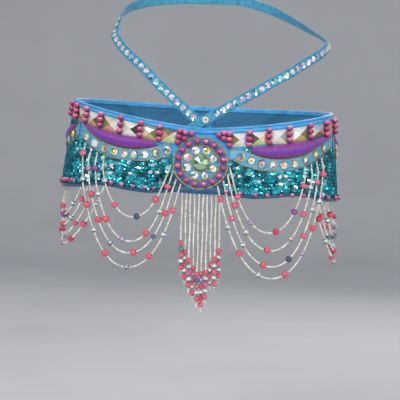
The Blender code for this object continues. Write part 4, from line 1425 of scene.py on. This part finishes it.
def square_outline(start, end):
    """A square's corners and the middles of its sides, in turn."""
    left, right = ((u, band_floor(u) - 0.4, upper_edge(u) - TOP_LEG - 0.3) for u in (start, end))
    corners = [(start, left[1]), (end, right[1]), (end, right[2]), (start, left[2])]
    middles = [tuple((a + b) / 2 for a, b in zip(corners[k], corners[(k + 1) % 4])) for k in range(4)]
    return [place for pair in zip(corners, middles) for place in pair]


def make_mirror_squares():
    """Foiled glass squares, each a low pyramid whose four sides are cut in two."""
    bm = bmesh.new()
    colour = bm.faces.layers.float_color.new("colour")

    def ring(places, out):
        return [bm.verts.new(on_hips(u, v, out)) for u, v in places]

    for start, end, *tones in SQUARES:
        outline = square_outline(start - SQUARE_REACH, end + SQUARE_REACH)
        centre = tuple(sum(corner[k] for corner in outline[::2]) / 4 for k in (0, 1))
        table = [[c + (p - c) * SQUARE_TABLE for p, c in zip(place, centre)] for place in outline]
        rim = ring(outline, FACE + SQUARE_OVER_FACE)
        foot = ring(outline, FACE - SQUARE_SINK)
        inner = ring(table, FACE + SQUARE_OVER_FACE + SQUARE_BEVEL)
        peak = ring([centre], FACE + SQUARE_PEAK)[0]
        for k in range(8):
            after = (k + 1) % 8
            faces = [
                bm.faces.new((rim[k], rim[after], inner[after], inner[k])),
                bm.faces.new((inner[k], inner[after], peak)),
                bm.faces.new((foot[k], foot[after], rim[after], rim[k])),
            ]
            # Each facet's tone is a painted reflection; every other half-side and the foot wall also get
            # painted shade.
            lighter = 1.0 if k % 2 else PAINTED_SHADE_HALF
            own = Vector(tone(PAINTED_REFLECTION_TONES[tones[k // 2]]))
            for face, share in zip(faces, (lighter, 1.0, PAINTED_FOOT_SHADE)):
                face[colour] = own * share
        bm.faces.new(foot)
    mesh = mesh_from("mirror_squares", bm)
    mesh.materials.append(FINISHES["mirror"])
    dress(new_object("mirror_squares", mesh), "crystal_garland")


# Crystal garlands: satin between two gold cords, with rainbow crystals in claw cups.
STONES_LEFT = (41, 53.6, 67, 79, 91.5, 105, 118, 132.5, 146)
STONES_RIGHT = (46.6, 59, 71.6, 85, 98.6, 112.6, 128, 144, 158.5)
STONE_PITCH = 13.2
GARLAND_OUT = FACE + 0.9
GARLAND_CORDS = (
    # column of the garland's edge, way inwards, lift from the face
    (1, 0.6, 1.3),
    (2, -0.5, 1.2),
)
CORD_PITCH = 0.95


def even_places(table, pitch):
    """Places along a garland's middle line, at an even pitch along its curve."""
    fine = np.linspace(table[0][0], table[-1][0], 300)
    middle = (smooth(table, 1, fine) + smooth(table, 2, fine)) / 2
    length = np.concatenate([[0], np.cumsum(np.hypot(np.diff(fine), np.diff(middle)))])
    count = int(length[-1] // pitch)
    first = (length[-1] - (count - 1) * pitch) / 2
    return np.interp(first + pitch * np.arange(count), length, fine)


def garland_satin(name, side, table):
    """The garland's strip of satin, a little crowned and uneven."""
    us = places_between(table[0][0], table[-1][0], 2.0)[:, None]
    low, high = smooth(table, 1, us), smooth(table, 2, us)
    shares = np.linspace(0, 1, 9)[None, :]
    vs = low + (high - low) * shares
    crown = 0.45 * np.sin(math.pi * shares) + 0.12 * np.sin(us * 0.7) * np.sin(math.pi * shares)
    points = on_hips(side * us, vs, GARLAND_OUT + crown)
    piece = cloth_piece(name + "_satin", points, vs - low, side * us, FINISHES["garland"])
    thicken(piece, 0.9, -1)
    dress(piece, "crystal_garland", name)


def garland_cords(name, side, table):
    us = places_between(table[0][0], table[-1][0], 2.0)
    lines = []
    for column, inwards, lift in GARLAND_CORDS:
        lines.append(line_on_face(side * us, smooth(table, column, us) + inwards, FACE + lift))
    cord = string_on(name + "_gold_cord", lines, CORD_LAY, FINISHES["gold"], CORD_PITCH, lean=0.12, seed=3)
    dress(cord, "crystal_garland")


def garland_stones(name, side, table, stones):
    """Claw cups and their crystals along the garland's middle line."""
    u = np.asarray(stones, float)
    v = (smooth(table, 1, u) + smooth(table, 2, u)) / 2
    places, ways = line_on_face(side * u, v, GARLAND_OUT + 0.3)
    dress(sew_on(name + "_claw_cups", places, ways, CLAW_CUP, FINISHES["claw"]), "crystal_garland")
    places, ways = line_on_face(side * u, v, GARLAND_OUT + 0.9)
    finish, seed = FINISHES["crystal"], len(name)
    crystals = sew_on(name + "_crystals", places, ways, CRYSTAL, finish, lean=0.1, uneven=0.05, seed=seed)
    dress(crystals, "crystal_garland")


def make_garland(name, side, table, stones):
    garland_satin(name, side, table)
    garland_cords(name, side, table)
    garland_stones(name, side, table, stones)


# Crescents: padding wrapped in thread, each turn of thread a rib across it.
RIB_PITCH = 1.9
RIB_DEPTH = 0.5
CRESCENT_PAD = 4.4
CRESCENT_WIDEST = 13.6


def make_crescent(name, side, table, garland):
    """A roll that starts on the garland's upper edge, with its back flat on the band."""
    us = places_between(table[0][0], table[-1][0], RIB_PITCH / 6)[:, None]
    low = smooth(garland, 2, us) + 0.5
    high = np.maximum(smooth(table, 1, us), low + 1.2)
    width = high - low
    turn = np.linspace(0, math.pi, 15)[None, :]
    back = np.linspace(math.pi, 2 * math.pi, 4)[None, 1:-1]
    turns = np.concatenate([turn, back], axis=1)
    pad = CRESCENT_PAD * np.sqrt(np.minimum(width / CRESCENT_WIDEST, 1))
    vs = (low + high) / 2 - width / 2 * np.cos(turns)
    raised = np.clip(np.sin(turns), 0, 1) ** 0.8
    rib = np.abs(np.sin(math.pi * us / RIB_PITCH + 0.5 * np.cos(turns)))
    uneven = 0.25 * np.sin(us * 0.21) + 0.15 * np.sin(us * 0.57 + 1)
    outs = FACE + 0.3 + raised * (0.7 + pad + uneven + RIB_DEPTH * rib) + np.minimum(np.sin(turns), 0) * 0.2
    points = on_hips(side * us, vs, outs)
    piece = cloth_piece(name + "_wrapped", points, vs - low, side * us, FINISHES["thread"], True, True)
    set_attribute(piece.data, "rise", "FLOAT", (vs - low) / width)
    set_attribute(piece.data, "rib", "FLOAT", rib)
    dress(piece, "purple_thread", name)


def make_sides():
    for label, side, garland, crescent, side_garland, side_crescent in sides():
        make_garland("garland_" + label, side, garland, STONES_LEFT if side < 0 else STONES_RIGHT)
        make_garland("garland_side_" + label, side, side_garland, even_places(side_garland, STONE_PITCH))
        make_crescent("crescent_" + label, side, crescent, garland)
        make_crescent("crescent_side_" + label, side, side_crescent, side_garland)


# The medallion: satin on a plate, crowned between its rim and its inner cord.
MEDALLION_RINGS = (0.02, 0.1, 0.2, 0.3, 0.36, 0.45, 0.55, 0.63, 0.66, 0.7, 0.76, 0.83, 0.9, 0.95, 0.985, 1.0)
CROWN_FROM = 0.66
MEDALLION_LIFT, MEDALLION_CROWN, RIM_DROP = 1.4, 0.7, 0.9
MEDALLION_CORDS = (
    # share of the medallion's reach, lift from the face
    (0.985, 1.5),
    (0.955, 2.0),
    (0.685, 2.0),
    (0.65, 1.9),
    (0.345, 2.0),
)
MEDALLION_BEADS = (
    # name, count, share of the medallion's reach, lift from the face, shape, finish, unevenness, seed
    ("medallion_pearls", 16, 0.82, 4.4, PEARL, "pearl", 0.06, 6),
    ("medallion_crystals", 8, 0.5, 1.5, CRYSTAL, "crystal", 0.04, 11),
)


def fill_middle(bm):
    """Closes the hole at the disc's middle, but not the disc's outline."""
    bmesh.ops.holes_fill(bm, edges=[edge for edge in bm.edges if edge.is_boundary], sides=0)
    outline = max(bm.faces, key=lambda face: face.calc_area())
    bmesh.ops.delete(bm, geom=[outline], context="FACES_ONLY")


def medallion_disc():
    """The satin, from the middle out to the rim, where it turns down."""
    shares = np.array(MEDALLION_RINGS)
    angles = np.linspace(0, 2 * math.pi, 97)[:-1]
    rise = np.sin(math.pi * np.clip((shares - CROWN_FROM) / (1 - CROWN_FROM), 0, 1))
    outs = FACE + MEDALLION_LIFT + MEDALLION_CROWN * rise - RIM_DROP * (shares >= 1.0)
    points = on_medallion(shares[:, None], angles[None, :], outs[:, None])
    around = MEDALLION_HALF_WIDTH * shares[:, None]
    across, along = around * np.sin(angles)[None, :], around * np.cos(angles)[None, :]
    disc = cloth_piece("medallion_disc", points, across, along, FINISHES["medallion"], closed=True)
    set_attribute(disc.data, "share", "FLOAT", np.repeat(shares, len(angles)))
    reshape(disc.data, fill_middle)
    reshape(disc.data, turn_outwards)
    thicken(disc, 1.0, -1)
    dress(disc, "medallion_cloth", "medallion")


def medallion_cords():
    fine = np.linspace(0, 2 * math.pi, 181)
    ways = way_out(MEDALLION_ROUND, MEDALLION_HEIGHT)
    lines = [(on_medallion(share, fine, FACE + lift), ways) for share, lift in MEDALLION_CORDS]
    cords = string_on("medallion_gold_cords", lines, CORD_LAY, FINISHES["gold"], CORD_PITCH, lean=0.1)
    dress(cords, "medallion_cloth")


def medallion_beads(name, count, share, lift, shape, finish, uneven, seed):
    """One ring of beads at an even pitch."""
    around = 2 * math.pi * (np.arange(count) + 0.5) / count
    places = on_medallion(share, around, FACE + lift)
    ways = way_out(MEDALLION_ROUND + share * MEDALLION_HALF_WIDTH * np.cos(around), MEDALLION_HEIGHT)
    dress(sew_on(name, places, ways, shape, FINISHES[finish], uneven=uneven, seed=seed), "medallion_cloth")


def make_medallion():
    medallion_disc()
    medallion_cords()
    for row in MEDALLION_BEADS:
        medallion_beads(*row)
    centre = on_medallion(0, 0, FACE + MEDALLION_LIFT)[None, :]
    way = way_out(MEDALLION_ROUND, MEDALLION_HEIGHT)[None, :]
    dress(sew_on("centre_stone", centre, way, RIVOLI, FINISHES["rivoli"]), "medallion_cloth")


# Pearls along the hem's upper edge.
HEM_PEARLS = (
    # round, height
    (-192, -29.5),
    (-185, -28.9),
    (-178, -28.1),
    (-170, -27.7),
    (-161, -27.5),
    (-103, -26.7),
    (-90, -28.3),
    (-76, -29.3),
    (-63.5, -29.9),
    (-52.6, -30.1),
    (-38.5, -27.7),
    (30.5, -29.4),
    (46, -30.4),
    (64, -31.2),
    (78, -31.0),
    (94, -30.4),
    (108, -29.6),
    (123, -29.6),
    (149, -31.0),
    (162, -31.8),
    (182, -32.4),
    (196, -33.0),
)
HEM_PEARL_OUT = 6.6
BACK_PEARLS_FROM, BACK_PEARL_PITCH = 226, 15.0


def make_hem_pearls():
    """The pearls that the front has, and an even row on each side behind them."""
    u, v = np.array(HEM_PEARLS).T
    behind = np.arange(BACK_PEARLS_FROM, BACK_CENTRE - 8, BACK_PEARL_PITCH)
    height = lower_edge(behind) + HEM_LEG - 0.6
    u, v = np.concatenate([u, behind, -behind]), np.concatenate([v, height, height])
    places, ways = line_on_face(u, v, HEM_PEARL_OUT)
    piece = sew_on("hem_pearls", places, ways, SMALL_PEARL, FINISHES["pearl"], uneven=0.08, seed=8)
    dress(piece, "medallion_cloth")


# Straps of ribbed elastic with one line of rainbow sequins.
STRAP_WALL = 1.1
STRAP_SEQUIN_PITCH = 8.6
RING_SEQUIN_HEIGHT = 53.5
EDGE_STITCHES_FROM = 50
EDGE_STITCH_PITCH = 2.9
STEPS_TO_A_ROW = 12


def strap_route(table):
    """Angle, height and depth along a strap, at places between the rows of its table."""
    numbered = [(k, *row) for k, row in enumerate(table)]
    t = np.linspace(0, len(table) - 1, (len(table) - 1) * STEPS_TO_A_ROW + 1)
    return (smooth(numbered, column, t) for column in (1, 2, 3))


def strap_line(table):
    """Heights and points of a strap's middle line, and the ways across it and out of it."""
    angle, height, depth = strap_route(table)
    centres = on_strap_form(angle, height, -depth)
    turned = on_strap_form(angle + 0.5, height, 0) - on_strap_form(angle - 0.5, height, 0)
    raised = on_strap_form(angle, height + 1.0, 0) - on_strap_form(angle, height - 1.0, 0)
    out = unit(np.cross(turned, raised))
    across = unit(np.cross(out, np.gradient(centres, axis=0)))
    return height, centres, across, out


def strap_elastic(name, centres, across, out):
    """The strap's strip of elastic, a little rolled and uneven."""
    length = np.concatenate([[0], np.cumsum(np.linalg.norm(np.diff(centres, axis=0), axis=1))]) / MM
    shares = np.linspace(-1, 1, 9)[None, :]
    roll = 0.16 * (1 - shares**2) + 0.12 * np.sin(length * 0.31)[:, None] * shares
    across_cloth = shares * STRAP_WIDTH / 2
    from_middle = across[:, None] * across_cloth[..., None] + out[:, None] * roll[..., None]
    points = centres[:, None] + from_middle * MM
    piece = cloth_piece(name + "_elastic", points, across_cloth, length[:, None], FINISHES["elastic"])
    thicken(piece, STRAP_WALL, 0)
    dress(piece, "sequin_strap", name)


def strap_sequins(name, centres, out):
    sequins = string_on(
        name + "_sequins",
        [(centres + out * 0.9 * MM, out)],
        STRAP_SEQUIN,
        FINISHES["strap_sequin"],
        STRAP_SEQUIN_PITCH,
        tilt=-0.12,
        lean=0.22,
        uneven=0.05,
        seed=len(name),
    )
    dress(sequins, "sequin_strap")


def strap_stitches(name, centres, across, out):
    """A line of stitches along both of the strap's edges."""
    edges = []
    for way in (-1, 1):
        beside = across * way * (STRAP_WIDTH / 2 - 0.7) + out * 0.55
        edges.append((centres + beside * MM, out))
    stitches = string_on(
        name + "_edge_stitches",
        edges,
        STITCH,
        FINISHES["stitch"],
        EDGE_STITCH_PITCH,
        lean=0.05,
        seed=12,
    )
    dress(stitches, "sequin_strap")


def make_strap(name, table, sequins_from):
    """A strap. The one whose sequins start above the crossing has a white ring below them."""
    height, centres, across, out = strap_line(table)
    strap_elastic(name, centres, across, out)
    shown = height > sequins_from
    strap_sequins(name, centres[shown], out[shown])
    if sequins_from > RING_SEQUIN_HEIGHT:
        near = [np.abs(height - RING_SEQUIN_HEIGHT).argmin()]
        place = centres[near] + out[near] * 1.4 * MM
        dress(sew_on("ring_sequin", place, out[near], RING_SEQUIN, FINISHES["seed"]), "sequin_strap")
    shown = height > EDGE_STITCHES_FROM
    strap_stitches(name, centres[shown], across[shown], out[shown])


# Strung beads. Colours run from a strand's outer end inwards.
BEAD_TONES = {
    "pink": "F26A88",
    "coral": "F06074",
    "red": "E04464",
    "silver": "E2ECEC",
    "white": "F4F2EE",
    "grey": "ACBAC0",
    "teal": "5E8E98",
    "purple": "9A4EA8",
    "lilac": "C8A8DA",
    "mauve": "9C6C9C",
    "dark": "4C5A6E",
    "blue": "56749C",
    "beige": "D4C0B4",
}
# Some kinds of large bead are larger than the rest.
BEAD_SIZES = {"coral": 1.22, "red": 1.2, "pink": 1.08, "dark": 1.14, "purple": 1.1, "silver": 1.06}
FRONT_COLOURS = {
    "left": (
        "silver pink dark coral silver purple",
        "purple silver coral lilac coral silver pink",
        "lilac coral coral grey coral blue coral silver",
        "pink silver coral silver coral grey coral silver pink",
    ),
    "right": (
        "pink purple red lilac pink silver",
        "silver pink beige coral silver coral",
        "pink silver pink dark coral silver pink",
        "pink silver coral lilac coral silver coral silver",
    ),
}
SIDE_COLOURS = {
    "left": (
        "silver purple coral red teal pink lilac",
        "pink silver coral mauve grey pink silver",
        "purple pink silver red pink silver pink",
        "silver coral red lilac pink teal pink silver",
    ),
    "right": (
        "coral silver red pink grey pink",
        "silver teal purple pink silver red",
        "pink teal coral silver pink mauve pink",
        "red silver pink white red pink silver pink",
    ),
}
SEED_PITCH = 1.9
ROOT_STITCH_PITCH = 0.9
BEAD_GAP = 3.9


def bead_places(length, first, pitch):
    """Lengths along a strand at which its large beads sit."""
    beads = np.arange(first, length[-1] - SWAG_LEAVES_WITHIN, pitch)
    return beads[beads > SWAG_BEAD_LENGTH]


def at_lengths(values, length, at):
    """Points or directions of a strand at lengths along it."""
    return np.stack([np.interp(at, length, values[:, k]) for k in range(3)], axis=1)


def seed_runs(points, length, ways, beads, gaps):
    """The stretches of a strand between its large beads."""
    ends = [length[0], *np.stack([beads - gaps, beads + gaps], axis=1).ravel(), length[-1]]
    runs = []
    for start, end in zip(ends[::2], ends[1::2]):
        if end - start >= 2 * SEED_PITCH:
            at = places_between(start, end, 1.0)
            runs.append((at_lengths(points, length, at), unit(at_lengths(ways, length, at))))
    return runs


def string_seeds(name, runs, node, seed):
    """The seed beads, which stand for a node's solid."""
    seeds = string_on(name, runs, SEED, FINISHES["seed"], SEED_PITCH, uneven=0.07, lean=0.05, seed=seed)
    dress(seeds, "glass_strand", node)


def whip_roots(name, strips):
    """Slanting stitches of blue thread, close together, over the strip that strands are fused to."""
    stitches = string_on(
        name + "_roots", strips, STITCH, FINISHES["stitch"], ROOT_STITCH_PITCH, lean=0.15, uneven=0.1, seed=14
    )
    dress(stitches, "glass_strand")


def make_swag(name, strands, colours, strips, pitch=SWAG_BEAD_PITCH):
    """Strands of seed beads with a large bead at an even pitch, and whipped thread over their roots."""
    runs, places, alongs, outs, tones, sizes = [], [], [], [], [], []
    for (points, length, ways, first), names in zip(strands, colours):
        beads = bead_places(length, first, pitch)
        names = names.split()
        names = [names[k % len(names)] for k in range(len(beads))]
        own = np.array([BEAD_SIZES.get(name, 1.0) for name in names])
        runs += seed_runs(points, length, ways, beads, BEAD_GAP * own)
        places.append(at_lengths(points, length, beads))
        alongs.append(unit(at_lengths(points, length, beads + 0.5) - at_lengths(points, length, beads - 0.5)))
        outs.append(np.broadcast_to(ways[0], places[-1].shape))
        tones += [BEAD_TONES[name] for name in names]
        sizes += own.tolist()
    string_seeds(name + "_seeds", runs, name, 21)
    whip_roots(name, strips)
    large = sew_on(
        name + "_large_beads",
        np.concatenate(places),
        np.concatenate(outs),
        STRAND_BEAD,
        FINISHES["bead"],
        alongs=np.concatenate(alongs),
        sizes=sizes,
        colours=tones,
        uneven=0.08,
        seed=22,
    )
    dress(large, "glass_strand")


def make_front_swags():
    """Swags from the medallion's lower half to the garlands' lower edges."""
    for label, side, garland, table in (
        ("left", -1, GARLAND_LEFT, FRONT_SWAG_LEFT),
        ("right", 1, GARLAND_RIGHT, FRONT_SWAG_RIGHT),
    ):

        def at_medallion(degrees):
            angle = np.radians(degrees)
            u = MEDALLION_ROUND + side * (MEDALLION_HALF_WIDTH + SWAG_ROOT_GAP) * np.sin(angle)
            return u, MEDALLION_HEIGHT - (MEDALLION_HALF_HEIGHT + SWAG_ROOT_GAP) * np.cos(angle)

        def at_garland(u):
            return side * u, smooth(garland, 1, u) - SWAG_ROOT_GAP

        strands = []
        for degrees, u, lowest, first in table:
            start, end = at_garland(u), at_medallion(degrees)
            strands.append((*strand_path(start, end, lowest, FACE + 1.0, FRONT_SWAG_OUT), first))
        inner = at_medallion(np.linspace(table[0][0] + 2, table[-1][0] - 2, 30))
        outer = at_garland(np.linspace(table[0][1] - 2, table[-1][1] + 2, 30))
        strips = [line_on_face(u, v, FACE + 1.1) for u, v in (inner, outer)]
        pitch = SWAG_BEAD_PITCH if side < 0 else RIGHT_BEAD_PITCH
        make_swag("swag_front_" + label, strands, FRONT_COLOURS[label], strips, pitch)


def make_side_swags():
    """Swags round the hips, from and to the belt's lower edge."""
    for label, side, table in (("left", -1, SIDE_SWAG_LEFT), ("right", 1, SIDE_SWAG_RIGHT)):

        def at_edge(u):
            return side * u, lower_edge(u) - SEAM_GAP - STRIP_HEIGHT / 2

        strands = []
        for front, back, lowest, first in table:
            path = strand_path(at_edge(front), at_edge(back), lowest, STRIP_MIDDLE, SIDE_SWAG_OUT)
            strands.append((*path, first))
        strips = []
        for column in (0, 1):
            ends = [row[column] for row in table]
            u, v = at_edge(places_between(min(ends) - 2, max(ends) + 2, 2.0))
            strips.append(line_on_face(u, v, STRIP_MIDDLE))
        make_swag("swag_side_" + label, strands, SIDE_COLOURS[label], strips)


FRINGE_COLOURS = ("coral", "silver", "pink", "white", "coral", "pink")
FRINGE_CENTRES = {0: "teal", 3: "lilac", 4: "blue", 5: "lilac"}
FRINGE_STAGGER = 2.2
FRINGE_LARGE_PITCH = 7.3


def sway(number, below):
    """How far a strand is bent aside at a distance below its root."""
    return 0.35 * np.sin(0.11 * below + number * 1.7)


def fringe_tone(number, k):
    """The colour of a strand's k-th large bead."""
    name = FRINGE_COLOURS[k % len(FRINGE_COLOURS)]
    return BEAD_TONES[FRINGE_CENTRES.get(number, name) if k == 1 else name]


def fringe_strand(number, beads_from, end):
    """A strand's runs of seed beads, and the places and colours of its large beads."""
    u = FRINGE_FIRST + number * FRINGE_PITCH
    x, y, top = on_hips(u, lower_edge(u) - SEAM_GAP - STRIP_HEIGHT / 2, STRIP_MIDDLE) / MM
    way = way_out(u, lower_edge(u))
    z = np.linspace(top, beads_from, 60)
    pushed = FRINGE_STAGGER * (1 if number % 2 else -1)
    drift = np.linspace(0, 1, 60) ** 2 * pushed
    upper = np.stack([x + sway(number, top - z), y + drift, z], axis=1) * MM
    heights = np.arange(beads_from - FRINGE_LARGE_PITCH / 2, end + 1.6, -FRINGE_LARGE_PITCH)
    beads = []
    for k, height in enumerate(heights):
        place = np.array((x + sway(number, top - height), y + pushed, height)) * MM
        beads.append((place, fringe_tone(number, k)))
    tip_from = heights[-1] - BEAD_GAP
    tip = np.linspace(tip_from, min(end, tip_from - 2 * SEED_PITCH), 3)
    lower = np.array([(x, y + pushed, z) for z in tip]) * MM
    return [(upper, way), (lower, way)], beads


def make_fringe():
    """Straight strands under the medallion, whose large beads are long and round in turn."""
    last = FRINGE_FIRST + (len(FRINGE) - 1) * FRINGE_PITCH
    u = np.linspace(FRINGE_FIRST - 2, last + 2, 40)
    edge = lower_edge(u) - SEAM_GAP
    strips = [line_on_face(u, edge - STRIP_HEIGHT * share, STRIP_MIDDLE) for share in (0.25, 0.75)]
    whip_roots("fringe_centre", strips)
    runs, longs, rounds = [], [], []
    for number, (beads_from, end) in enumerate(FRINGE):
        own_runs, beads = fringe_strand(number, beads_from, end)
        runs += own_runs
        longs += beads[::2]
        rounds += beads[1::2]
    string_seeds("fringe_seeds", runs, "fringe_centre", 31)
    for name, shape, beads in (("long", LONG_BEAD, longs), ("round", RONDELLE, rounds)):
        piece = sew_on(
            f"fringe_{name}_beads",
            np.array([place for place, _ in beads]),
            np.tile((0.0, -1.0, 0.0), (len(beads), 1)),
            shape,
            FINISHES["bead"],
            alongs=np.tile((0.0, 0.0, 1.0), (len(beads), 1)),
            colours=[code for _, code in beads],
            uneven=0.06,
            seed=33,
        )
        dress(piece, "glass_strand")


# The closure: a tape behind the opening at the centre of the back, and hooks in their eyes.
HOOKS = 7
HOOK_ROUND = BACK_CENTRE - 3.5


def make_closure():
    offsets = np.linspace(-CLOSURE_HALF_WIDTH, CLOSURE_HALF_WIDTH, 21)
    us = (BACK_CENTRE - np.abs(offsets)) * np.where(offsets <= 0, 1, -1)
    low = lower_edge(us) + CLOSURE_CLEAR_OF_EDGES
    high = upper_edge(us) - CLOSURE_CLEAR_OF_EDGES
    shares = np.linspace(0, 1, 15)[None, :]
    vs = low[:, None] + (high - low)[:, None] * shares
    outs = -1.1 + 0.12 * np.sin(offsets * 0.5)[:, None] * np.sin(shares * 9)
    points = on_hips(us[:, None], vs, outs)
    piece = cloth_piece("closure_cloth", points, vs, offsets[:, None], FINISHES["tape"])
    set_attribute(piece.data, "share", "FLOAT", np.zeros(len(piece.data.vertices)))
    thicken(piece, 1.2, 0)
    dress(piece, "hook_tape", "closure_tape")
    heights = np.linspace(low.mean() + 5, high.mean() - 5, HOOKS)
    places, ways = line_on_face(np.full(HOOKS, HOOK_ROUND), heights, -2.2)
    dress(sew_on("closure_hooks", places, ways, HOOK, FINISHES["hook"]), "hook_tape")


# Floor, backdrop, light and camera.
FLOOR_Z = -0.42
FLOOR_REACH, SWEEP, WALL_TOP = 3.2, 1.0, 2.0
CAMERA_TARGET = Vector((0.0, 0.0, -0.046))
CAMERA_DISTANCE = 2.0
CAMERA_ELEVATION = math.radians(3.0)
CAMERA_ROLL = math.radians(1.5)
FOCAL_IN_PIXELS = 1606.0
FRAME_PIXELS = 400
SENSOR_WIDTH = 36.0


def face_belt(bm):
    """Joins the floor's middle to one point, and turns the backdrop's faces to the belt."""
    bmesh.ops.remove_doubles(bm, verts=bm.verts[:], dist=MM)
    away = [face for face in bm.faces if face.normal.dot(Vector((0, 0, 1)) - face.calc_center_median()) < 0]
    bmesh.ops.reverse_faces(bm, faces=away)


def make_stage():
    """A pale round floor that sweeps up into a plain wall on every side."""
    bends = np.linspace(0, math.pi / 2, 12)
    profile = [(reach, 0.0) for reach in (0.0, 1.0, 2.5)]
    profile += [(FLOOR_REACH + SWEEP * math.sin(a), SWEEP * (1 - math.cos(a))) for a in bends]
    profile += [(FLOOR_REACH + SWEEP, WALL_TOP)]
    angles = np.linspace(0, 2 * math.pi, 73)[:-1]
    points = np.array([[(r * math.cos(a), r * math.sin(a), FLOOR_Z + z) for a in angles] for r, z in profile])
    paper, tree, shader = new_finish("pale_studio_paper", 0.85)
    greys = ((0.3, "DCDCDE"), (0.7, "E4E4E6"))
    tree.links.new(ramp(tree, grain(tree, 3.0), greys), shader.inputs["Base Color"])
    flat = np.zeros(points.shape[:2])
    sweep = cloth_piece("studio_sweep", points, flat, flat, paper, closed=True)
    reshape(sweep.data, face_belt)


LIGHTS = (
    # name, place, size, power
    ("key", (-0.9, -1.9, 1.3), 0.5, 17),
    ("fill", (1.5, -1.5, 0.5), 1.2, 8),
    ("front", (0.2, -2.2, 0.75), 0.09, 10),
    ("above", (0.2, 0.3, 1.7), 1.4, 7),
    ("behind", (0.5, 1.9, 1.0), 1.2, 8),
)
SKY_COLOUR = (0.78, 0.82, 0.88, 1)
SKY_STRENGTH = 0.42


def make_lights():
    """Round soft lights that all point at the belt's middle, and a pale sky."""
    for name, place, size, power in LIGHTS:
        lamp = bpy.data.lights.new(name, "AREA")
        lamp.shape = "DISK"
        lamp.size = size
        lamp.energy = power
        made = new_object(name, lamp)
        made.location = place
        made.rotation_euler = (-Vector(place)).to_track_quat("-Z", "Y").to_euler()
    world = bpy.data.worlds.new("soft studio")
    world.use_nodes = True
    background = world.node_tree.nodes["Background"]
    background.inputs["Color"].default_value = SKY_COLOUR
    background.inputs["Strength"].default_value = SKY_STRENGTH
    bpy.context.scene.world = world


def make_camera():
    """A camera in front of the belt and a little above it, rolled as the photograph is."""
    back = Vector((0, -math.cos(CAMERA_ELEVATION), math.sin(CAMERA_ELEVATION)))
    level, upright = Vector((1, 0, 0)), Vector((0, math.sin(CAMERA_ELEVATION), math.cos(CAMERA_ELEVATION)))
    right = level * math.cos(CAMERA_ROLL) + upright * math.sin(CAMERA_ROLL)
    up = upright * math.cos(CAMERA_ROLL) - level * math.sin(CAMERA_ROLL)
    lens = bpy.data.cameras.new("camera")
    lens.sensor_width = SENSOR_WIDTH
    lens.lens = FOCAL_IN_PIXELS / FRAME_PIXELS * SENSOR_WIDTH
    lens.clip_start, lens.clip_end = 0.05, 20
    made = new_object("camera", lens)
    turn = Matrix((right, up, back)).transposed().to_4x4()
    made.matrix_world = Matrix.Translation(CAMERA_TARGET + back * CAMERA_DISTANCE) @ turn
    bpy.context.scene.camera = made


make_camera()
make_band()
make_sequins()
make_pearls()
make_mirror_squares()
make_sides()
make_medallion()
make_hem_pearls()
make_strap("strap_left", STRAP_LEFT, sequins_from=50)
make_strap("strap_right", STRAP_RIGHT, sequins_from=61)
make_front_swags()
make_side_swags()
make_fringe()
make_closure()
make_stage()
make_lights()
bpy.context.scene.view_settings.view_transform = "Standard"
